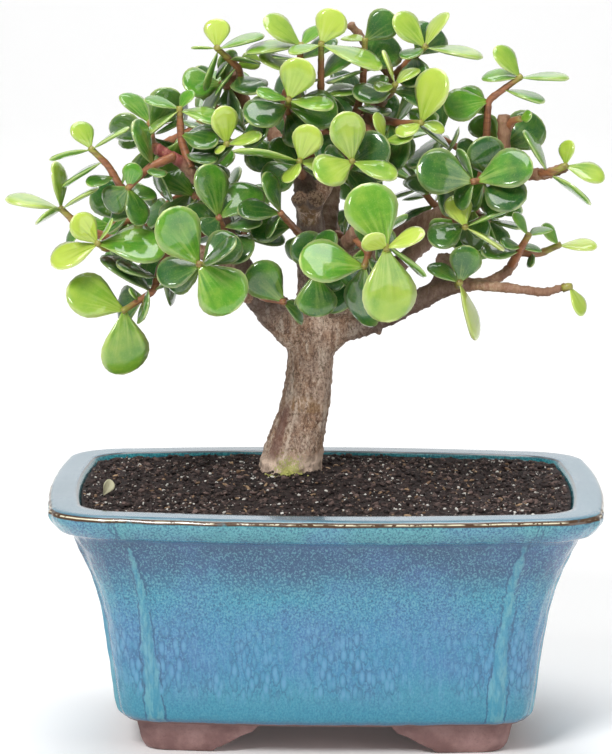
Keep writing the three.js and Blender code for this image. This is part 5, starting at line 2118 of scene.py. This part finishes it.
    def dried_leaf(self) -> None:
        """A small shed leaf, pale and folded along its middle, at the front left of the bed."""
        foot = DRAWING.spot(*self.shed_at)
        foot[2] = float(GROUND.height(foot[:1], foot[1:2])[0]) + 0.6
        shed = Leaf.aimed(foot, unit(np.array([0.35, 0.2, 0.75])), np.array([0.1, -1, 0.3]), 4.8, 4.4, 0.2)
        made = fine_leaves([shed])
        aside = ((made.places - foot) @ shed.side)[:, None]
        made.places = made.places + np.abs(aside) * (0.8 * shed.face) - aside * (0.3 * shed.side)
        made.values = {"tone": np.full(len(made.places), 0.6)}
        made.material_of_face = None
        settle(made.to_object("dried_leaf", self.offset, [self.finishes.shed]), Slot.PEAT)


def fine_leaves(leaves: list[Leaf]) -> Surface:
    """Succulent blades.

    Along a blade, the share of the half width is 0.08 + 0.43 sin(pi s / 2) + 0.52 (3 s^2 - 2 s^3) with
    s = t / widest up to the widest place, and then 1.03 sqrt(1 - ((t - widest) / (1 - widest))^2). A
    section is an ellipse, fuller at its edges and creased on top.

    Args:
        leaves: The leaves.

    Returns:
        All blades in one surface, with values for their colours.
    """
    corners, widest, beyond, rim_from, middling = 8, 0.62, 0.38, 0.93, 11
    t = np.array([0, 0.1, 0.24, 0.4, 0.54, 0.66, 0.77, 0.86, 0.93, 0.98, 1.0])
    s = np.minimum(t / widest, 1)
    rise = 0.08 + 0.43 * np.sin(math.pi * s / 2) + 0.52 * (3 * s**2 - 2 * s**3)
    fall = 1.03 * np.sqrt(clamped(1 - ((np.maximum(t, widest) - widest) / beyond) ** 2))
    wide = np.where(t <= widest, rise, np.maximum(fall, 0.04))
    turn = np.arange(corners) / corners * FULL_TURN
    cos, sin = np.cos(turn), np.sin(turn)
    across = wide[:, None] * cos
    plump = 0.62 * np.clip(wide * 1.5, 0.28, 1)
    lift = plump[:, None] * np.sign(sin) * np.abs(sin) ** 0.75
    lift = lift - 0.16 * bell(across, 0.16) * (sin > 0.5) * (t < 0.7)[:, None]
    along = np.broadcast_to(t[:, None], across.shape)
    rim = np.maximum(np.abs(cos)[None] ** 2 + 0 * across, (t[:, None] > rim_from) * 1.0)
    under = np.broadcast_to(clamped(-sin), across.shape)
    marks = {"rim": rim[:, ::-1], "under": under[:, ::-1], "along": along, "across": across[:, ::-1]}
    parts = []
    for leaf in leaves:
        grown = max(0.7, min(1.25, leaf.length / middling))
        places = leaf.points(along, across, lift * grown)
        fresh = np.full(across.shape, leaf.fresh)
        part = Surface.grid(places[:, ::-1], fresh=fresh, **marks).capped(corners)
        part.material_of_face = np.zeros(len(part.faces))
        parts.append(part)
    return Surface.joined(parts)


@dataclass
class Foliage(Part):
    """Every leafy spray: a fleshy stem with swollen nodes, and its leaves."""

    crown: Crown
    seed: int = 7
    tone_spread: float = 0.07
    corners: int = 10
    swell: float = 0.16
    swell_every: float = 4.2
    swell_first: float = 0.7
    swell_wide: float = 0.9
    green_over: float = 10

    def stem(self, shoot: Shoot) -> Surface:
        """A stem that narrows to its tip and swells a little at each pair of leaves.

        Args:
            shoot: The stem's way and its leaves.

        Returns:
            The closed stem, with values for its colours.
        """
        line, radii = smooth_line(shoot.way, shoot.radii(), 2)
        lengths = lengths_along(line)
        from_tip = lengths[-1] - lengths
        nodes = bell((from_tip - self.swell_first) % self.swell_every, self.swell_wide)
        radii = radii * (1 + self.swell * nodes)
        youth = max([leaf.fresh for leaf in shoot.leaves], default=0.3)
        fresh = clamped(youth + 0.4 - from_tip / self.green_over)
        unused = dict.fromkeys(("rim", "under", "along", "across"), np.zeros(len(line)))
        made = tube(line, radii, self.corners, fresh=fresh, **unused)
        made.material_of_face = np.ones(len(made.faces))
        return made

    def dress(self) -> None:
        """Make each spray in place of its node."""
        draw = np.random.default_rng(self.seed)
        for number, shoot in enumerate(self.crown.shoots, 1):
            name = f"spray_{number:02d}"
            for leaf in shoot.leaves:
                leaf.fresh = float(clamped(leaf.fresh + draw.normal(0, self.tone_spread)))
            made = Surface.joined([fine_leaves(shoot.leaves), self.stem(shoot)])
            materials = [self.finishes.leaf, self.finishes.stem]
            settle(made.to_object(f"fine_{name}", self.offset, materials), Slot.FOLIAGE, name)


@dataclass
class Wood(Part):
    """The trunk, its limbs and its cut stubs, grown together, with bark."""

    voxel: float = 0.62
    scar_at: Triple = (303, 405, 12)
    knot_at: Triple = (306, 213, 7)
    moss_at: Triple = (289, 470, 4)
    nub_at: Triple = (264, 464, 8)
    knot_size: float = 4.0
    moss_size: float = 4.2
    nub_size: float = 2.2
    nub_height: float = 1.5
    scar_above: float = 3.4
    scar_below: float = 1.1
    chunk: int = 4000
    lines: dict[str, tuple[Array, Array]] = field(default_factory=dict)

    def __post_init__(self) -> None:
        """Smooth every limb's line, and give the trunk a root in the soil."""
        spot = GROUND.trunk_spot
        for name in LIMBS:
            line, radii = limb_line(name)
            if name == "trunk":
                heights = PLAN.height - GROUND.root_depth + 1, PLAN.height - 1
                line = np.concatenate([[(*spot, height) for height in heights], line[1:]])
                radii = np.concatenate([[GROUND.root_radius] * 2, radii[1:]])
            self.lines[name] = smooth_line(line, radii, 5 if name == "trunk" else 3)
        self.names = list(self.lines)
        self.mark = DRAWING.spot(*self.scar_at)

    def stub_tubes(self) -> list[Surface]:
        """Short cut stubs, square at their ends.

        Returns:
            A closed tube for each stub.
        """
        tubes = []
        for start, end, radius in STUBS:
            places = np.array([DRAWING.spot(*start), DRAWING.spot(*end)])
            line, radii = smooth_line(places, np.array([radius, radius * 0.92]), 0)
            tubes.append(tube(line, radii, 16))
        return tubes

    def grown(self) -> Object:
        """Join the tubes in one skin by a fine voxel remesh, done in millimetres, and smooth it.

        Returns:
            The piece, in metres.
        """
        tubes = [tube(line, radii, 20) for line, radii in self.lines.values()] + self.stub_tubes()
        piece = outward(linked("trunk_and_limbs", Surface.joined(tubes).to_mesh("trunk_and_limbs")))
        skinned(piece, self.voxel, 4)
        move_vertices(piece.data, vertices_of(piece.data) * MILLIMETRE + self.offset)
        return piece

    def nearest(self, places: Array) -> tuple[Array, Array, Array]:
        """Find the limb that each place belongs to.

        Args:
            places: Rows of places, in millimetres.

        Returns:
            For each place: its limb's number, how far along that limb it is, and the radius there.
        """
        lines = [line for line, _ in self.lines.values()]
        centres = np.concatenate(lines)
        sizes = np.concatenate([radii for _, radii in self.lines.values()])
        owner = np.concatenate([np.full(len(line), k) for k, line in enumerate(lines)])
        along = np.concatenate([lengths_along(line) for line in lines])
        heading = np.concatenate([unit(np.gradient(line, axis=0)) for line in lines])
        best = np.concatenate([
            (((chunk[:, None] - centres[None]) ** 2).sum(axis=2) - sizes**2).argmin(axis=1)
            for chunk in np.array_split(places, max(1, len(places) // self.chunk))
        ])
        further = ((places - centres[best]) * heading[best]).sum(axis=1)
        return owner[best], along[best] + further, sizes[best]

    def on(self, owner: Array, *names: str) -> Array:
        """Whether each place belongs to one of the named limbs."""
        return np.isin(owner, [self.names.index(name) for name in names])

    def scar_of(self, here: Array, owner: Array) -> Array:
        """How near each place lies to the trunk's ring scar, which is in front, or to the knot, 0 to 1.

        Args:
            here: Places on the bark, in millimetres.
            owner: Each place's limb, by number.

        Returns:
            The nearness of each place.
        """
        aside = here[:, 0] - self.mark[0]
        tilt = here[:, 2] - self.mark[2] + 0.12 * aside
        tall = np.where(tilt > 0, self.scar_above, self.scar_below)
        front = 0.35 + 0.65 * bell(aside, 4.2) * (here[:, 1] < self.mark[1])
        knot = bell(DRAWING.away(here, self.knot_at), self.knot_size)
        return np.maximum(bell(tilt, tall) * front * self.on(owner, "trunk"), knot)

    def stripe_of(self, here: Array, owner: Array, size: Array) -> Array:
        """A dark stripe, 1, with a pale edge, -1, down the left of the trunk's front below the scar.

        Args:
            here: Places on the bark, in millimetres.
            owner: Each place's limb, by number.
            size: The limb's radius at each.

        Returns:
            The stripe's strength at each place.
        """
        line, _ = self.lines["trunk"]
        aside = (here[:, 0] - np.interp(here[:, 2], line[:, 2], line[:, 0])) / size
        low = clamped((self.mark[2] + 6 - here[:, 2]) / 8) * clamped((here[:, 2] - PLAN.height - 3) / 3)
        shown = low * self.on(owner, "trunk") * (here[:, 1] < self.mark[1])
        return shown * (bell(aside + 0.7, 0.24) - bell(aside + 0.34, 0.07))

    @staticmethod
    def base_of(here: Array) -> Array:
        """How near each place lies to the soil, 0 to 1."""
        return clamped(1.25 - (here[:, 2] - PLAN.height - 1) / 6.5)

    @staticmethod
    def cut_of(here: Array) -> Array:
        """Whether each place lies on the end of a cut stub, 0 to 1.

        Args:
            here: Places on the bark, in millimetres.

        Returns:
            1 on a cut end, fading to 0 behind it.
        """
        cut = np.zeros(len(here))
        for start, end, radius in STUBS:
            tip, root = DRAWING.spot(*end), DRAWING.spot(*start)
            ahead = (here - tip) @ unit(tip - root)
            close = np.linalg.norm(here - tip, axis=1) < radius * 1.5
            cut = np.maximum(cut, clamped(ahead + 1.0) * close)
        return cut

    def bark(self, places: Array) -> Array:
        """The bark's height: flutes along a limb, rings at old leaf scars, cracks and fine grain.

        Args:
            places: Places on the skin, in the frame's millimetres.

        Returns:
            The height at each, in millimetres.
        """
        here = places - self.offset / MILLIMETRE
        owner, along, size = self.nearest(here)
        thick = np.clip(size / 6, 0.25, 1.2)
        crust = self.base_of(here) * (0.2 + 0.4 * ripple(here, 3.6, 24, 3))
        crust = crust + self.scar_of(here, owner) * (0.25 + 0.45 * ripple(here, 2.4, 23, 2))
        flutes = ripple(here * [1, 1, 0.3], 9, 21, 3)
        fine = ripple(here * [1, 1, 0.55], 2.2, 22, 3)
        spacing = 2.0 + 0.8 * size
        rings = bell((along % spacing) - spacing / 2, 0.4) * (size < 5)
        raised = 0.4 * thick * flutes + 0.17 * thick**0.5 * fine + 0.24 * rings - 0.05
        cracks = -0.22 * thick * bell(ripple(here * [0.5, 0.5, 1], 4.5, 26, 2), 0.16) * (size > 3)
        nub = self.nub_height * bell(DRAWING.away(here, self.nub_at), self.nub_size)
        return raised + cracks + crust + nub

    def dress(self) -> None:
        """Grow the wood, raise its bark and give each place its age and its marks."""
        piece = self.grown()
        here = roughen(piece, self.bark) - self.offset / MILLIMETRE
        owner, along, size = self.nearest(here)
        young = clamped((3.3 - size) / 1.6) * 0.75
        reddish = self.on(owner, "high", "upright", "topLeft")
        end = lengths_along(self.lines["left"][0])[-1]
        note_values(piece.data, {
            "young": clamped(young + 0.25 * reddish * (size < 3.2)),
            "blush": np.where(self.on(owner, "left"), clamped((along - end + 10) / 3) * 0.75, 0),
            "scar": self.scar_of(here, owner),
            "base": self.base_of(here),
            "moss": bell(DRAWING.away(here, self.moss_at), self.moss_size),
            # limb: painted shade, darker along each limb away from the trunk.
            "limb": clamped((along - 9) / 12) * ~self.on(owner, "trunk"),
            "cut": self.cut_of(here),
            "stripe": self.stripe_of(here, owner, size),
        })
        wear(piece, self.finishes.bark)
        settle(piece, Slot.BARK, "trunk")


@dataclass
class Studio:
    """A plain white sweep, soft lights and the camera at the photograph's angle."""

    rise: float = math.radians(11.28)
    distance: float = 1.043
    lens: float = 179.76
    sensor: float = 36
    nearest: float = 0.05
    roll: float = math.radians(0.416)
    look: Triple = (20.4, -105.2, -3765.0)
    floor_white: Triple = (0.93, 0.93, 0.93)
    floor_glow: float = 0.03
    room_light: float = 0.25
    # Each lamp: its name, where it is, where it points, its size and its power.
    lamps: tuple[tuple[str, Triple, Triple, float, float], ...] = (
        ("key", (-0.5, -1.0, 1.05), (0, 0, 0.12), 0.45, 16),
        ("fill", (1.0, -0.7, 0.5), (0, 0, 0.08), 0.8, 3.4),
        ("top", (0.05, 0.1, 1.3), (0, 0, 0.1), 0.8, 10),
        ("wall", (0, 1.3, 1.6), (0, 2.4, 0.3), 1.2, 14),
    )

    def camera(self, offset: Array) -> None:
        """Point a long lens at the middle of the rim, then turn it so the rim lies low in the picture.

        Args:
            offset: Where the pot's middle is in the frame, in metres.
        """
        middle = Vector(offset) + Vector((0, 0, PLAN.height * MILLIMETRE))
        sin, cos = math.sin(self.rise), math.cos(self.rise)
        base = Matrix(((1, 0, 0), (0, sin, -cos), (0, cos, sin)))
        aside = Vector(self.look).normalized().rotation_difference(Vector((0, 0, -1))).to_matrix()
        turn = base @ Matrix.Rotation(self.roll, 3, "Z") @ aside
        eye = bpy.data.cameras.new("camera")
        eye.lens = self.lens
        eye.sensor_width = self.sensor
        eye.clip_start = self.nearest
        made = linked("camera", eye)
        place = middle + Vector((0, -cos, sin)) * self.distance
        made.matrix_world = Matrix.Translation(place) @ turn.to_4x4()
        bpy.context.scene.camera = made

    def sweep(self) -> None:
        """A white floor that curves up behind into a wall."""
        turn = np.linspace(0, math.pi / 2, 24)
        y = np.concatenate([[-4.0], 1.6 + 0.8 * np.sin(turn), [2.4]])
        z = np.concatenate([[0.0], 0.8 - 0.8 * np.cos(turn), [4.0]])
        sides = [np.stack([np.full(len(y), x), y, z], axis=1) for x in (-5.0, 5.0)]
        mesh = Surface.grid(np.stack(sides, axis=1), close_rows=False).to_mesh("floor")
        mesh.shade_smooth()
        glow = {"Emission_Color": (1, 1, 1, 1), "Emission_Strength": self.floor_glow}
        paint = Paint("white_sweep", Base_Color=(*self.floor_white, 1), Roughness=0.9, **glow)
        mesh.materials.append(paint.material)
        made = linked("floor", mesh)

    @staticmethod
    def light(name: str, place: Triple, aim: Triple, size: float, power: float) -> None:
        """A square soft light that points from a place to another.

        Args:
            name: The lamp's name.
            place: Where it is.
            aim: Where it points.
            size: The length of its side.
            power: Its power in watts.
        """
        lamp = bpy.data.lights.new(name, "AREA")
        lamp.size = size
        lamp.energy = power
        made = linked(name, lamp)
        made.location = place
        made.rotation_euler = (Vector(aim) - Vector(place)).to_track_quat("-Z", "Y").to_euler()

    def set_up(self, offset: Array) -> None:
        """Build the sweep, the lights, the pale surroundings and the camera.

        Args:
            offset: Where the pot's middle is in the frame, in metres.
        """
        self.sweep()
        for lamp in self.lamps:
            self.light(*lamp)
        world = bpy.data.worlds.new("pale_room")
        world.use_nodes = True
        room = world.node_tree.nodes["Background"].inputs
        room["Color"].default_value = (1, 1, 1, 1)
        room["Strength"].default_value = self.room_light
        bpy.context.scene.world = world
        bpy.context.scene.view_settings.view_transform = "Standard"
        self.camera(offset)


def main() -> None:
    """Build the bonsai round the frame, then the studio."""
    logging.basicConfig(level=logging.INFO, format="%(message)s")
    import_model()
    low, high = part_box("pot")
    offset = np.array([(low[0] + high[0]) / 2, (low[1] + high[1]) / 2, 0.0])
    finishes = Finishes()
    pot, soil = Pot(offset, finishes), Soil(offset, finishes)
    for work in (pot.body, pot.feet, soil.bed, soil.loose, soil.moss, soil.dried_leaf):
        work()
    Wood(offset, finishes).dress()
    Foliage(offset, finishes, Crown()).dress()
    Studio().set_up(offset)


if __name__ == "__main__":
    main()
